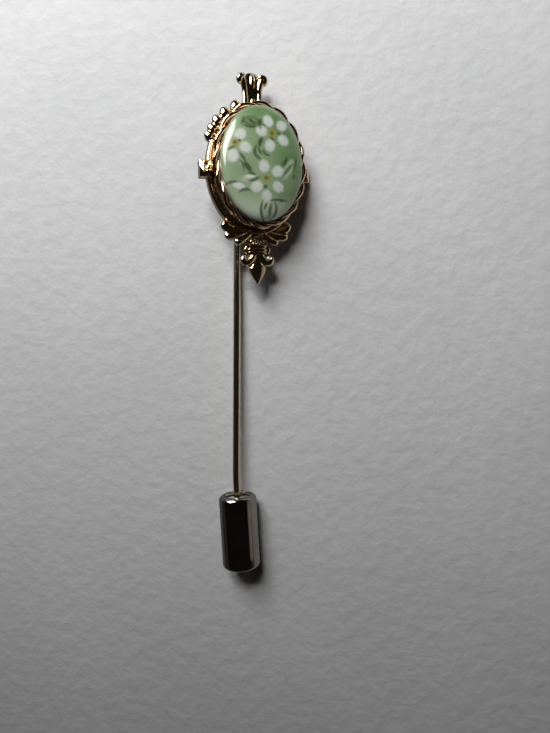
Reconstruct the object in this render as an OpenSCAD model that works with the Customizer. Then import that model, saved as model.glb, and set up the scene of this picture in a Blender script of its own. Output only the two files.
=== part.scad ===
// Stick pin: a gilt cast frame round an oval porcelain stone, on a straight wire
// with a clutch over its point. It lies face up on a table, as such a pin rests:
// on the clutch, on the wire's bend and on one side stud.
// Head axes: u across the face, v up towards the finial, w out of the face, w = 0 at the back.

/* [Stone] */
// Length of the oval stone
stone_l = 15.7; // [12:0.1:20]
// Width of the oval stone
stone_w = 11.7; // [9:0.1:15]
// Height of the stone's upright side
stone_side_h = 3.2; // [2:0.05:4]
// Rise of the dome above the side
stone_dome_h = 1.8; // [1:0.1:3]
// Fullness of the dome, where 2 is a half ellipse and more is flatter on top
stone_fullness = 2.7; // [2:0.1:4]
// Small bevel round the foot of the stone
stone_foot = 0.2; // [0.1:0.05:0.4]

/* [Frame] */
// From the stone's edge out to the frame's edge
frame_margin = 1.3; // [1.1:0.05:2]
// Height of the raised edge of the frame
frame_h = 1.25; // [1:0.05:1.8]
// Thickness of the raised edge
frame_edge_t = 0.3; // [0.2:0.05:0.45]
// Depth of the hollow channel below the raised edge
channel_depth = 0.4; // [0.2:0.05:0.6]
// Thickness of the floor under the stone
floor_t = 1.2; // [0.8:0.05:1.6]
// Thickness of the bezel wall
bezel_t = 0.4; // [0.3:0.05:0.6]
// Space between the stone and the bezel, and under the stone
seat_gap = 0.05; // [0.03:0.01:0.1]

/* [Rope] */
// Height of the rope's middle above the back of the frame
rope_w = 3.7; // [3.2:0.05:4]
// From the stone's edge out to the rope's middle
rope_out = 0.34; // [0.2:0.02:0.5]
// Radius of one strand
strand_r = 0.37; // [0.25:0.01:0.45]
// Radius of the circle in which the strands twist
strand_throw = 0.28; // [0.15:0.01:0.35]
// Turns of the twist round the stone
rope_turns = 8; // [6:1:12]

/* [Shoulder lobes] */
// Radius of the lobe next to the finial
lobe_r = 0.95; // [0.7:0.05:1.1]
// Size of each lobe as a share of the one before
lobe_taper = 0.86; // [0.8:0.005:0.95]
// Lobes on each side
lobe_count = 5; // [3:1:6]
// Spacing of the lobes as a share of their joined radii
lobe_pitch = 1; // [0.9:0.02:1.2]
// Angle of the first lobe from the top of the oval
lobe_start = 18.5; // [17:0.5:26]

/* [Finial] */
// Height of the finial above the frame
finial_h = 4.4; // [3:0.1:6]
// Width of the finial over its volutes
finial_w = 4.65; // [3.6:0.05:5.5]
// Radius of a volute
volute_r = 0.58; // [0.4:0.02:0.7]
// Radius of a flute
flute_r = 0.43; // [0.3:0.01:0.5]

/* [Side studs] */
// From the stone's edge out to the end of the stud
stud_out = 2.3; // [1.8:0.05:3]
// Length of a stud along the frame
stud_l = 2; // [1.4:0.1:2.6]
// Height of a stud
stud_h = 1.85; // [1.5:0.05:2.4]
// Width of the bevel on top of a stud
stud_bevel = 0.42; // [0.2:0.02:0.5]
// Height of the stud's underside above the back of the frame
stud_lift = 0.15; // [0.05:0.05:0.3]
// How far the studs sit below the middle of the oval
stud_drop = 0.2; // [0:0.05:0.6]

/* [Drop ornament] */
// Width over the acanthus scrolls
leaf_w = 11; // [9:0.1:13]
// Height of the acanthus scrolls
leaf_h = 3.4; // [2.6:0.1:4]
// Length of the drop below the frame
drop_l = 7; // [5.5:0.1:9]
// Width of the knot
knot_w = 3.8; // [3:0.1:4.6]
// Width of the fleur-de-lis
fleur_w = 5.2; // [4:0.1:6]
// Height of the middle of the relief above the back
relief_w = 0.66; // [0.5:0.02:0.9]

/* [Wire] */
// Diameter of the wire
wire_d = 1.15; // [0.8:0.05:1.3]
// From the back of the frame to the middle of the wire
wire_standoff = 3.35; // [2.8:0.05:4.5]
// Radius of the bend at the head, at the middle of the wire
corner_r = 1.3; // [1:0.05:1.6]
// From the socket to the slight bend near the point
stem_l = 47.8; // [35:0.1:60]
// Angle of the slight bend near the point
tip_bend = 3.8; // [1:0.1:6]
// Radius of the slight bend
tip_bend_r = 60; // [40:1:90]
// Length of wire inside the clutch
tip_in = 8; // [6:0.1:8.6]
// Length of the sharpened point
point_l = 2.2; // [1:0.1:3]
// Turn of the head on its post, seen from the front
head_turn = 2.2; // [-4:0.1:4]
// How far left of the middle the post stands
post_u = 1.33; // [0:0.01:2]
// How far above the middle the post stands
post_v = 4; // [2:0.1:5]
// Wall of the socket round the post
socket_wall = 0.7; // [0.5:0.05:1]
// Height of the socket behind the frame
socket_h = 1.3; // [0.8:0.05:1.5]
// Space between the post and its socket
post_gap = 0.03; // [0.02:0.01:0.06]

/* [Clutch] */
// Outer diameter of the clutch
clutch_d = 5.8; // [4.6:0.1:7]
// Length of the clutch
clutch_l = 11.3; // [10:0.1:15]
// Wall of the clutch shell
clutch_wall = 0.4; // [0.3:0.05:0.6]
// Diameter of the mouth
mouth_d = 4.2; // [3:0.1:4.2]
// Radius of the rounded far end
clutch_end_r = 0.65; // [0.4:0.05:1]
// Length of the grip inside
grip_l = 7; // [5:0.1:7.5]
// Depth of the funnel in the grip
funnel_depth = 1.1; // [0.6:0.1:1.6]
// Width of the funnel at the grip's face
funnel_d = 3.3; // [2.4:0.1:3.4]
// Space between the grip and the shell
grip_gap = 0.05; // [0.03:0.01:0.08]
// Space round the wire in the grip
wire_gap = 0.05; // [0.03:0.01:0.08]
// From the end of the slight bend to the mouth of the clutch
clutch_back = 0.4; // [0.2:0.1:1]

/* [Hidden] */
GILT = "#c9a25a";
PORCELAIN = "#9fc09b";
STEEL = "#4a4542";
GREY = "#8a8a84";
// Steps round the oval, round the rope and round a ball
OVAL_STEPS = 64;
ROPE_STEPS = 104;
STRAND_SIDES = 6;
STRAND_TILT = 22;
BALL_SIDES = 10;
ROUND = 48;
EPS = 0.01;
// How far the pieces of the casting reach below its back before they are cut flat together
BELOW = 0.5;

// Half sizes of the ovals
stone_a = stone_w / 2;
stone_b = stone_l / 2;
frame_b = stone_b + frame_margin;
bezel_out = seat_gap + bezel_t;
wire_r = wire_d / 2;
clutch_r = clutch_d / 2;
mouth_r = mouth_d / 2;
shoulder_r = clutch_r - mouth_r;

// A point at angle t of the stone's outline, moved outwards by d, at height w
function oval_point(t, d, w) =
    let (nu = cos(t) / stone_a, nv = sin(t) / stone_b, n = sqrt(nu * nu + nv * nv))
    [stone_a * cos(t) + d * nu / n, stone_b * sin(t) + d * nv / n, w];

// Millimetres along the frame's edge for one degree of t
function oval_speed(t) =
    let (a = stone_a + frame_margin, b = frame_b)
    PI / 180 * sqrt(pow(a * sin(t), 2) + pow(b * cos(t), 2));

// The angle that lies at share s of the way round, measured along the outline
function even_angle(s) =
    let (e = (stone_b - stone_a) / (stone_b + stone_a))
    360 * s - e / 2 * sin(720 * s) * 180 / PI;

// Faces of a tube of closed rings, each with m points, that joins up with itself
function torus_faces(rings, m) = [
    for (i = [0 : rings - 1], j = [0 : m - 1], half = [0, 1])
        let (a = i * m + j, b = i * m + (j + 1) % m,
             c = ((i + 1) % rings) * m + (j + 1) % m, d = ((i + 1) % rings) * m + j)
        half == 0 ? [a, b, c] : [a, c, d]
];

// A closed section of [out, w] points swept round the stone
module oval_ring(section) {
    points = [
        for (i = [0 : OVAL_STEPS - 1], p = section)
            oval_point(360 * i / OVAL_STEPS, p[0], p[1])
    ];
    polyhedron(points, torus_faces(OVAL_STEPS, len(section)));
}

// A flat oval plate between two heights, wider than the stone by d
module oval_plate(d, w0, w1) {
    outline = [for (i = [0 : OVAL_STEPS - 1]) oval_point(360 * i / OVAL_STEPS, d, 0)];
    translate([0, 0, w0])
        linear_extrude(w1 - w0)
            polygon([for (p = outline) [p[0], p[1]]]);
}

// One ball of a modelled limb: p is [u, v, w], r its radius
module ball(p, r) {
    translate(p) sphere(r, $fn = BALL_SIDES);
}

// A rounded limb through rows of [u, v, r], its middle at height w
U = 0;
V = 1;
R = 2;
module limb(rows, w = relief_w) {
    for (i = [0 : len(rows) - 2]) {
        hull() {
            ball([rows[i][U], rows[i][V], w], rows[i][R]);
            ball([rows[i + 1][U], rows[i + 1][V], w], rows[i + 1][R]);
        }
    }
}

// Both sides of the head
module mirrored() {
    children();
    mirror([1, 0, 0]) children();
}

// Frame: floor, raised edge with its hollow channel, and the bezel wall
module frame_body() {
    edge = frame_margin;
    crest = edge - frame_edge_t / 2;
    bowl = (edge - frame_edge_t + bezel_out) / 2;
    oval_plate(bezel_out - bezel_t / 2, -BELOW, floor_t);
    oval_ring([
        [0, -BELOW], [edge, -BELOW],
        [edge, frame_h - 0.4 * frame_edge_t], [crest, frame_h], [edge - frame_edge_t, frame_h - frame_edge_t / 3],
        [bowl, frame_h - channel_depth], [bezel_out, frame_h - channel_depth / 2], [0, frame_h - channel_depth / 2]
    ]);
    oval_ring([[seat_gap, floor_t / 2], [bezel_out, floor_t / 2], [bezel_out, rope_w], [seat_gap, rope_w]]);
}

// One strand of the rope that lies on top of the bezel wall, its sections moved along by a share of a step
module rope_strand(phase, shift) {
    points = [
        for (i = [0 : ROPE_STEPS - 1])
            let (s = (i + shift) / ROPE_STEPS, t = even_angle(s), turn = phase + 360 * rope_turns * s)
            for (j = [0 : STRAND_SIDES - 1])
                let (q = STRAND_TILT + 360 * j / STRAND_SIDES)
                oval_point(t,
                    rope_out + strand_throw * cos(turn) + strand_r * cos(q),
                    rope_w + strand_throw * sin(turn) + strand_r * sin(q))
    ];
    polyhedron(points, torus_faces(ROPE_STEPS, STRAND_SIDES));
}

// The rope: two strands twisted round each other, trimmed where the stone stands
module rope() {
    difference() {
        union() {
            rope_strand(8, 0.3);
            rope_strand(188, 0.8);
        }
        oval_plate(seat_gap + EPS, floor_t, 2 * rope_w);
    }
}

// Graduated lobes that run from the finial down the shoulder, each turned a little from the frame's edge
LOBE_TURN = 11;
function lobe_size(i) = lobe_r * pow(lobe_taper, i);
function lobe_angle(i) = i == 0
    ? 90 + lobe_start
    : lobe_angle(i - 1) + lobe_pitch * (lobe_size(i - 1) + lobe_size(i)) / oval_speed(lobe_angle(i - 1));
module shoulder_lobes() {
    for (i = [0 : lobe_count - 1]) {
        r = lobe_size(i);
        translate(oval_point(lobe_angle(i), frame_margin + r / 4, relief_w * 0.85))
            rotate([0, 0, lobe_angle(i) + LOBE_TURN])
                scale([1, 1, 0.85])
                    sphere(r, $fn = BALL_SIDES + 2);
    }
}

// Finial: flutes that flare into two volutes, as shares of its half width and height
FLUTE_MID = [[0, 0, 1], [0, 0.33, 0.82], [0, 0.64, 0.95], [0, 0.9, 1]];
FLUTE_SIDE = [[0.41, -0.02, 1.05], [0.36, 0.35, 0.9], [0.45, 0.62, 1], [0.6, 0.78, 1.1]];
module finial() {
    half = finial_w / 2;
    rows = function(table)
        [for (p = table) [p[U] * half, frame_b + p[V] * finial_h, p[R] * flute_r]];
    limb(rows(FLUTE_MID));
    mirrored() {
        limb(rows(FLUTE_SIDE));
        limb([
            [0.6 * half, frame_b + 0.78 * finial_h, volute_r * 0.8],
            [half - volute_r, frame_b + 0.81 * finial_h, volute_r]
        ], relief_w * 1.15);
    }
    hull() {
        for (side = [-1, 1]) {
            ball([side * 0.4 * half, frame_b, relief_w * 0.7], flute_r * 0.8);
            ball([side * 0.5 * half, frame_b + 0.78 * finial_h, relief_w * 0.7], flute_r * 0.8);
        }
    }
}

// Bevelled stud and the small claw that runs from it up to the rope
module side_stud() {
    end = stone_a + stud_out;
    foot = stone_a + frame_margin / 2;
    base_h = stud_h - stud_bevel - stud_lift;
    translate([0, -stud_drop, 0]) {
        hull() {
            translate([foot, -stud_l / 2, stud_lift])
                cube([end - foot, stud_l, base_h]);
            translate([foot, stud_bevel - stud_l / 2, stud_lift])
                cube([end - foot - stud_bevel, stud_l - 2 * stud_bevel, stud_h - stud_lift]);
        }
        hull() {
            ball([foot + stud_bevel / 2, 0, stud_h - stud_bevel], 1.2 * stud_bevel);
            ball([stone_a + rope_out + strand_r, 0, rope_w - strand_throw], 0.95 * stud_bevel);
        }
    }
}

// Acanthus scrolls: three curled lobes a side, as shares of half width and height
LEAF_TOP = [[0.6, 0.34, 0.12], [0.78, 0.33, 0.13], [0.905, 0.19, 0.145], [0.89, 0.08, 0.1]];
LEAF_MID = [[0.42, 0.52, 0.12], [0.64, 0.62, 0.13], [0.79, 0.65, 0.14], [0.82, 0.55, 0.09]];
LEAF_LOW = [[0.26, 0.6, 0.11], [0.39, 0.78, 0.115], [0.51, 0.87, 0.125], [0.545, 0.78, 0.09]];
module acanthus() {
    half = leaf_w / 2;
    top = -frame_b + 0.57 * leaf_h;
    for (leaf = [LEAF_TOP, LEAF_MID, LEAF_LOW]) {
        limb([for (p = leaf) [p[U] * half, top - p[V] * leaf_h, p[R] * leaf_h]]);
    }
}

// Fan of fine flutes between the scrolls, its radii as shares of the scrolls' height
FAN_COUNT = 7;
FAN_SPREAD = 54;
module fan() {
    reach = leaf_h * 0.46;
    for (i = [0 : FAN_COUNT - 1]) {
        a = FAN_SPREAD * (2 * i / (FAN_COUNT - 1) - 1);
        limb([
            [0.2 * reach * sin(a), -frame_b + 0.1 * leaf_h - 0.2 * reach * cos(a), 0.045 * leaf_h],
            [reach * sin(a), -frame_b + 0.1 * leaf_h - reach * cos(a), 0.06 * leaf_h]
        ], relief_w * 1.15);
    }
}

// Web behind the scrolls, the fan and the knot, as shares of half width and height
WEB = [[0.62, 0.25], [0.81, 0.28], [0.78, 0.49], [0.7, 0.6], [0.66, 0.72], [0.46, 0.8], [0.2, 1.02]];
module drop_web() {
    half = leaf_w / 2;
    top = -frame_b + 0.57 * leaf_h;
    corner = function(p, side) [side * p[U] * half, top - p[V] * leaf_h];
    last = len(WEB) - 1;
    translate([0, 0, -BELOW])
        linear_extrude(BELOW + relief_w * 0.9)
            polygon(
                concat([for (p = WEB) corner(p, 1)], [for (i = [0 : last]) corner(WEB[last - i], -1)])
            );
}

// Knot: three ribs side by side, with a round loop at each end
KNOT_AT = 0.295;
module knot() {
    mid = -frame_b - KNOT_AT * drop_l;
    rib_r = 0.08 * knot_w;
    for (i = [-1 : 1]) {
        limb([[-0.3 * knot_w, mid + i * 1.6 * rib_r, rib_r], [0.3 * knot_w, mid + i * 1.6 * rib_r, rib_r]],
            relief_w * 1.4);
    }
    loop_r = 0.15 * knot_w;
    mirrored()
        for (a = [-90 : 45 : 45]) {
            limb([
                [0.3 * knot_w + loop_r * cos(a), mid + loop_r * sin(a), 0.05 * knot_w],
                [0.3 * knot_w + loop_r * cos(a + 45), mid + loop_r * sin(a + 45), 0.05 * knot_w]
            ], relief_w * 1.15);
        }
}

// Backbone behind the knot, from the web down into the fleur-de-lis
module backbone() {
    limb([[0, -frame_b, 0.09 * knot_w], [0, -frame_b - 0.4 * drop_l, 0.09 * knot_w]], relief_w * 0.8);
}

// Fleur-de-lis: a ridged lance and two curled petals, as shares of half width and drop length
PETAL = [[0.12, 0.38, 0.05], [0.32, 0.5, 0.06], [0.54, 0.56, 0.066], [0.755, 0.535, 0.088], [0.8, 0.49, 0.07]];
module fleur() {
    half = fleur_w / 2;
    mirrored()
        limb([for (p = PETAL) [p[U] * half, -frame_b - p[V] * drop_l, p[R] * drop_l]]);
    neck = -frame_b - 0.37 * drop_l;
    waist = -frame_b - 0.67 * drop_l;
    tip_r = 0.02 * drop_l;
    hull() {
        ball([0, neck, relief_w], 0.045 * drop_l);
        ball([0, waist, relief_w * 1.75], tip_r);
        for (side = [-1, 1]) {
            ball([side * 0.42 * half, waist, relief_w * 0.62], tip_r);
        }
    }
    hull() {
        ball([0, tip_r - frame_b - drop_l, relief_w * 0.85], tip_r);
        ball([0, waist, relief_w * 1.75], tip_r);
        for (side = [-1, 1]) {
            ball([side * 0.42 * half, waist, relief_w * 0.62], tip_r);
        }
    }
}

// Socket on the back for the wire's post
module socket() {
    r = wire_r + post_gap + socket_wall;
    translate([-post_u, post_v, -socket_h])
        cylinder(r = r, h = socket_h + floor_t / 2, $fn = ROUND / 2);
    translate([-post_u, post_v, -socket_h / 3])
        cylinder(r1 = r, r2 = r + socket_h / 3, h = socket_h / 3 + EPS, $fn = ROUND / 2);
}

// The frame and its ornaments, cut flat at the back
module flat_backed() {
    difference() {
        union() {
            frame_body();
            rope();
            mirrored() {
                shoulder_lobes();
                side_stud();
                acanthus();
            }
            finial();
            fan();
            drop_web();
            backbone();
            knot();
            fleur();
        }
        translate([-stone_l, -2 * stone_l, -stone_l])
            cube([2 * stone_l, 4 * stone_l, stone_l]);
    }
}

// The whole casting, in the head's axes
module setting_in_place() {
    difference() {
        union() {
            flat_backed();
            socket();
        }
        translate([-post_u, post_v, -2 * socket_h])
            cylinder(r = wire_r + post_gap, h = 2 * socket_h + post_depth, $fn = ROUND / 2);
    }
}
post_depth = floor_t * 0.7;

// Stone: an upright side, a small bevel at the foot and a full dome, as rings of [share, w]
DOME_STEPS = 10;
stone_foot_w = floor_t + seat_gap;
stone_side_w = stone_foot_w + stone_side_h;
stone_rings = concat(
    [[1 - stone_foot / stone_a, stone_foot_w], [1, stone_foot_w + stone_foot]],
    [
        for (i = [0 : DOME_STEPS - 1])
            let (a = 90 * i / DOME_STEPS)
            [pow(cos(a), 2 / stone_fullness), stone_side_w + stone_dome_h * sin(a)]
    ]
);
module cabochon_in_place() {
    n = len(stone_rings);
    points = concat(
        [
            for (ring = stone_rings, i = [0 : OVAL_STEPS - 1])
                let (p = oval_point(360 * i / OVAL_STEPS, 0, 0))
                [ring[0] * p[0], ring[0] * p[1], ring[1]]
        ],
        [[0, 0, stone_foot_w], [0, 0, stone_side_w + stone_dome_h]]
    );
    foot_mid = n * OVAL_STEPS;
    crown_mid = foot_mid + 1;
    last = (n - 1) * OVAL_STEPS;
    faces = concat(
        [
            for (k = [0 : n - 2], i = [0 : OVAL_STEPS - 1], half = [0, 1])
                let (j = (i + 1) % OVAL_STEPS, a = k * OVAL_STEPS, b = a + OVAL_STEPS)
                half == 0 ? [a + i, b + i, b + j] : [a + i, b + j, a + j]
        ],
        [for (i = [0 : OVAL_STEPS - 1]) [foot_mid, i, (i + 1) % OVAL_STEPS]],
        [for (i = [0 : OVAL_STEPS - 1]) [crown_mid, last + (i + 1) % OVAL_STEPS, last + i]]
    );
    polyhedron(points, faces);
}

// How the pin lies: slope of the wire, then roll of the head about the wire
mouth_s = stem_l + tip_bend_r * sin(tip_bend) + clutch_back * cos(tip_bend);
clutch_rest_s = mouth_s + shoulder_r * cos(tip_bend);
slope = atan2(clutch_r, clutch_rest_s - corner_r)
    - asin(wire_r / sqrt(pow(clutch_r, 2) + pow(clutch_rest_s - corner_r, 2)));
wire_z = wire_r - corner_r * sin(slope);

// A head point [u, v, w] seen from the wire's corner, before the roll
function from_corner(p) =
    let (u = p[0] + post_u, v = p[1] - post_v)
    [u * cos(head_turn) - v * sin(head_turn), u * sin(head_turn) + v * cos(head_turn), p[2] + wire_standoff];

stud_end = stone_a + stud_out;
touch = from_corner([stud_end, stud_l / 2 - stud_drop, stud_lift]);
roll = atan2(touch[2], touch[0])
    + asin((wire_z - touch[1] * sin(slope)) / cos(slope) / sqrt(pow(touch[0], 2) + pow(touch[2], 2)));

// A head point in the lying pin, above the wire's corner
function lying(p) =
    let (q = from_corner(p), x = q[0] * cos(roll) + q[2] * sin(roll), z = q[2] * cos(roll) - q[0] * sin(roll))
    [x, q[1] * cos(slope) + z * sin(slope), wire_z + z * cos(slope) - q[1] * sin(slope)];

// The middle of the whole pin's box on the table, from what reaches furthest each way
stud_side_w = stud_h - stud_bevel;
reach_left = lying([-stud_end, stud_l / 2 - stud_drop, stud_lift])[0];
reach_right = lying([stud_end, -stud_l / 2 - stud_drop, stud_side_w])[0];
reach_up = lying([0, frame_b + 0.9 * finial_h, relief_w])[1] + flute_r;
clutch_end_s = mouth_s + clutch_l * cos(tip_bend) + (clutch_r - clutch_end_r) * sin(tip_bend);
reach_down = -clutch_end_s * cos(slope) - 0.2 * sin(slope);
mid_x = (reach_left + reach_right) / 2;
mid_y = (reach_up + reach_down) / 2;

// Puts pieces that are drawn about the wire's corner, wire along -Y, on the table
module on_table() {
    translate([-mid_x, -mid_y, wire_z]) rotate([-slope, 0, 0]) children();
}

// Puts pieces that are drawn in the head's axes on the table
module on_head() {
    on_table()
        rotate([0, roll, 0])
            rotate([0, 0, head_turn])
                translate([post_u, -post_v, wire_standoff])
                    children();
}

// Puts pieces that are drawn along +Z from the end of the slight bend on the wire's tip
module on_tip(along) {
    on_table()
        translate([tip_bend_r, -stem_l, 0])
            rotate([0, 0, tip_bend])
                translate([-tip_bend_r, 0, 0])
                    rotate([90, 0, 0])
                        translate([0, 0, along])
                            children();
}

// Wire: post in the socket, bend, straight stem, slight bend, tip and point
module pin_stem() {
    color(GILT) {
        on_table() {
            rotate([0, roll, 0]) {
                translate([0, 0, corner_r])
                    cylinder(r = wire_r, h = wire_standoff - corner_r + post_depth - post_gap, $fn = ROUND);
                translate([0, -corner_r, corner_r])
                    rotate([0, 90, 0])
                        rotate_extrude(angle = 90, $fn = ROUND)
                            translate([corner_r, 0]) circle(wire_r, $fn = ROUND);
            }
            translate([0, -corner_r, 0])
                rotate([90, 0, 0])
                    cylinder(r = wire_r, h = stem_l - corner_r, $fn = ROUND);
            translate([tip_bend_r, -stem_l, 0])
                rotate([0, 0, 180])
                    rotate_extrude(angle = tip_bend, $fn = ROUND)
                        translate([tip_bend_r, 0]) circle(wire_r, $fn = ROUND);
        }
        on_tip(0) {
            translate([0, 0, tip_joint / 2])
                sphere(r = wire_r * 1.02, $fn = ROUND);
            translate([0, 0, tip_joint])
                cylinder(r = wire_r, h = clutch_back + tip_in - point_l - tip_joint, $fn = ROUND);
            translate([0, 0, clutch_back + tip_in - point_l])
                cylinder(r1 = wire_r, r2 = wire_r / 8, h = point_l, $fn = ROUND);
        }
    }
}
// Length of the small ball joint between the slight bend and the tip
tip_joint = wire_r / 6;

// Points of a quarter round about a middle, from one angle to another
ARC_STEPS = 5;
function arc_points(mid, r, from, to) = [
    for (i = [0 : ARC_STEPS])
        let (a = from + (to - from) * i / ARC_STEPS)
        [mid[0] + r * cos(a), mid[1] + r * sin(a)]
];

// Clutch shell: rounded shoulder at the mouth, plain barrel, rounded closed end
module clutch_shell() {
    outer = concat(
        arc_points([clutch_r - shoulder_r, shoulder_r], shoulder_r, -90, 0),
        arc_points([clutch_r - clutch_end_r, clutch_l - clutch_end_r], clutch_end_r, 0, 90)
    );
    inner_r = clutch_r - clutch_wall;
    inner = [
        [0, clutch_l], [0, clutch_l - clutch_wall], [inner_r - clutch_end_r / 2, clutch_l - clutch_wall],
        [inner_r, clutch_l - clutch_wall - clutch_end_r / 2], [inner_r, clutch_wall + shoulder_r / 2],
        [mouth_r, clutch_wall]
    ];
    color(STEEL)
        on_tip(clutch_back)
            rotate_extrude($fn = ROUND)
                polygon(concat(outer, inner));
}

// Grip: a plain bush with a funnel that leads the wire in
module clutch_grip() {
    top = clutch_wall + shoulder_r / 2 + grip_gap;
    bore_r = wire_r + wire_gap;
    outer_r = clutch_r - clutch_wall - grip_gap;
    color(GREY)
        on_tip(clutch_back)
            difference() {
                translate([0, 0, top])
                    cylinder(r = outer_r, h = grip_l, $fn = ROUND);
                translate([0, 0, top - EPS])
                    cylinder(r = bore_r, h = grip_l + 2 * EPS, $fn = ROUND);
                translate([0, 0, top - EPS])
                    cylinder(r1 = funnel_d / 2, r2 = bore_r, h = funnel_depth, $fn = ROUND);
            }
}

module setting() {
    color(GILT) on_head() setting_in_place();
}

module cabochon() {
    color(PORCELAIN) on_head() cabochon_in_place();
}

setting();
cabochon();
pin_stem();
clutch_shell();
clutch_grip();
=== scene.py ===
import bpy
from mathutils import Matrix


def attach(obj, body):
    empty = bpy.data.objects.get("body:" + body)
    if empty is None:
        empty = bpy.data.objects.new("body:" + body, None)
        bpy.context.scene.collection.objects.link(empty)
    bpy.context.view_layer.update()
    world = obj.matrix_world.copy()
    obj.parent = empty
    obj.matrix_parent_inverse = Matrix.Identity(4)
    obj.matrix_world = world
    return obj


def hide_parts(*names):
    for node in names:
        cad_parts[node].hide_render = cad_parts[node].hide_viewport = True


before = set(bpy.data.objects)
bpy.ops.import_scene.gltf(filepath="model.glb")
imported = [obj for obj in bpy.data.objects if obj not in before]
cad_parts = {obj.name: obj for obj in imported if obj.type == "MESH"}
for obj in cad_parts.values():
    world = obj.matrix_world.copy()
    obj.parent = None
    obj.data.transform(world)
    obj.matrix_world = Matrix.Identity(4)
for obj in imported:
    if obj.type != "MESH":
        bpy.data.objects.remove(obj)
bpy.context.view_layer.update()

import logging
from dataclasses import dataclass, field
from enum import Enum
from math import atan2, cos, degrees, pi, radians, sin, sqrt
from typing import Callable, Sequence

import bmesh
import bpy
from bpy.types import Material, Node, NodeSocket, NodeTree, Object
from mathutils import Matrix, Vector

LOG = logging.getLogger("stick_pin")
MILLIMETRE = 0.001
Point = tuple[float, float, float]  # x, y, z
Station = tuple[float, float, float]  # u, v, radius
Colour = tuple[float, float, float, float]
Profile = Sequence[tuple[float, float]]  # rows of radius or size, and height


class Body(Enum):
    """The two bodies that pieces ride on."""

    PIN = "pin"
    CLUTCH = "clutch"


# ---------------------------------------------------------------- places


@dataclass(frozen=True)
class Lie:
    """How the pin lies on the table, in millimetres and degrees, as the solids have it."""

    corner: Point = (-3.02624, 26.911, 0.516582)  # where the wire's corner lies
    slope: float = 2.57557  # of the wire, over the table
    roll: float = 23.6571  # of the head and the post, about the wire
    head_turn: float = 2.2  # of the head, on its post
    post: Point = (1.33, -4.0, 3.35)  # from the wire's corner to the head's middle
    stem_l: float = 47.8
    tip_bend: float = 3.8
    tip_bend_r: float = 60.0
    clutch_back: float = 0.4  # from the end of the bend to the clutch's mouth

    def on_table(self) -> Matrix:
        """Returns the matrix from the wire's corner, wire along -Y, to the table in metres."""
        scale = Matrix.Scale(MILLIMETRE, 4)
        return scale @ Matrix.Translation(self.corner) @ Matrix.Rotation(radians(-self.slope), 4, "X")

    def rolled(self) -> Matrix:
        """Returns the turn of the head and the post about the wire."""
        return Matrix.Rotation(radians(self.roll), 4, "Y")

    def on_head(self) -> Matrix:
        """Returns the matrix from the head's own axes to the table in metres."""
        turn = Matrix.Rotation(radians(self.head_turn), 4, "Z")
        return self.on_table() @ self.rolled() @ turn @ Matrix.Translation(self.post)

    def on_tip(self) -> Matrix:
        """Finds where the clutch sits on the wire's bent end.

        Returns:
            The matrix from the clutch's mouth, clutch along +Z, to the table in metres.
        """
        centre = Vector((self.tip_bend_r, -self.stem_l, 0))
        back = Matrix.Translation((-self.tip_bend_r, 0, 0))
        swing = Matrix.Translation(centre) @ Matrix.Rotation(radians(self.tip_bend), 4, "Z") @ back
        along = Matrix.Rotation(pi / 2, 4, "X") @ Matrix.Translation((0, 0, self.clutch_back))
        return self.on_table() @ swing @ along


LIE = Lie()


@dataclass(frozen=True)
class Oval:
    """The stone's outline, which the frame, the rope and the lobes follow."""

    half_w: float = 5.85
    half_l: float = 7.85
    margin: float = 1.3  # how far the frame stands out of the stone

    def point(self, angle: float, out: float, height: float) -> Vector:
        """Finds a point beside the outline.

        Args:
            angle: place on the outline, in degrees.
            out: how far outwards of it, in millimetres.
            height: height over the back of the casting.

        Returns:
            The point in the head's axes.
        """
        c, s = cos(radians(angle)), sin(radians(angle))
        nu, nv = c / self.half_w, s / self.half_l
        n = sqrt(nu * nu + nv * nv)
        return Vector((self.half_w * c + out * nu / n, self.half_l * s + out * nv / n, height))

    def speed(self, angle: float, out: float) -> float:
        """Returns the millimetres along the offset outline for one degree of angle."""
        a, b = self.half_w + out, self.half_l + out
        return radians(1) * sqrt((a * sin(radians(angle))) ** 2 + (b * cos(radians(angle))) ** 2)


OVAL = Oval()


# ---------------------------------------------------------------- the bench


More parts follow.
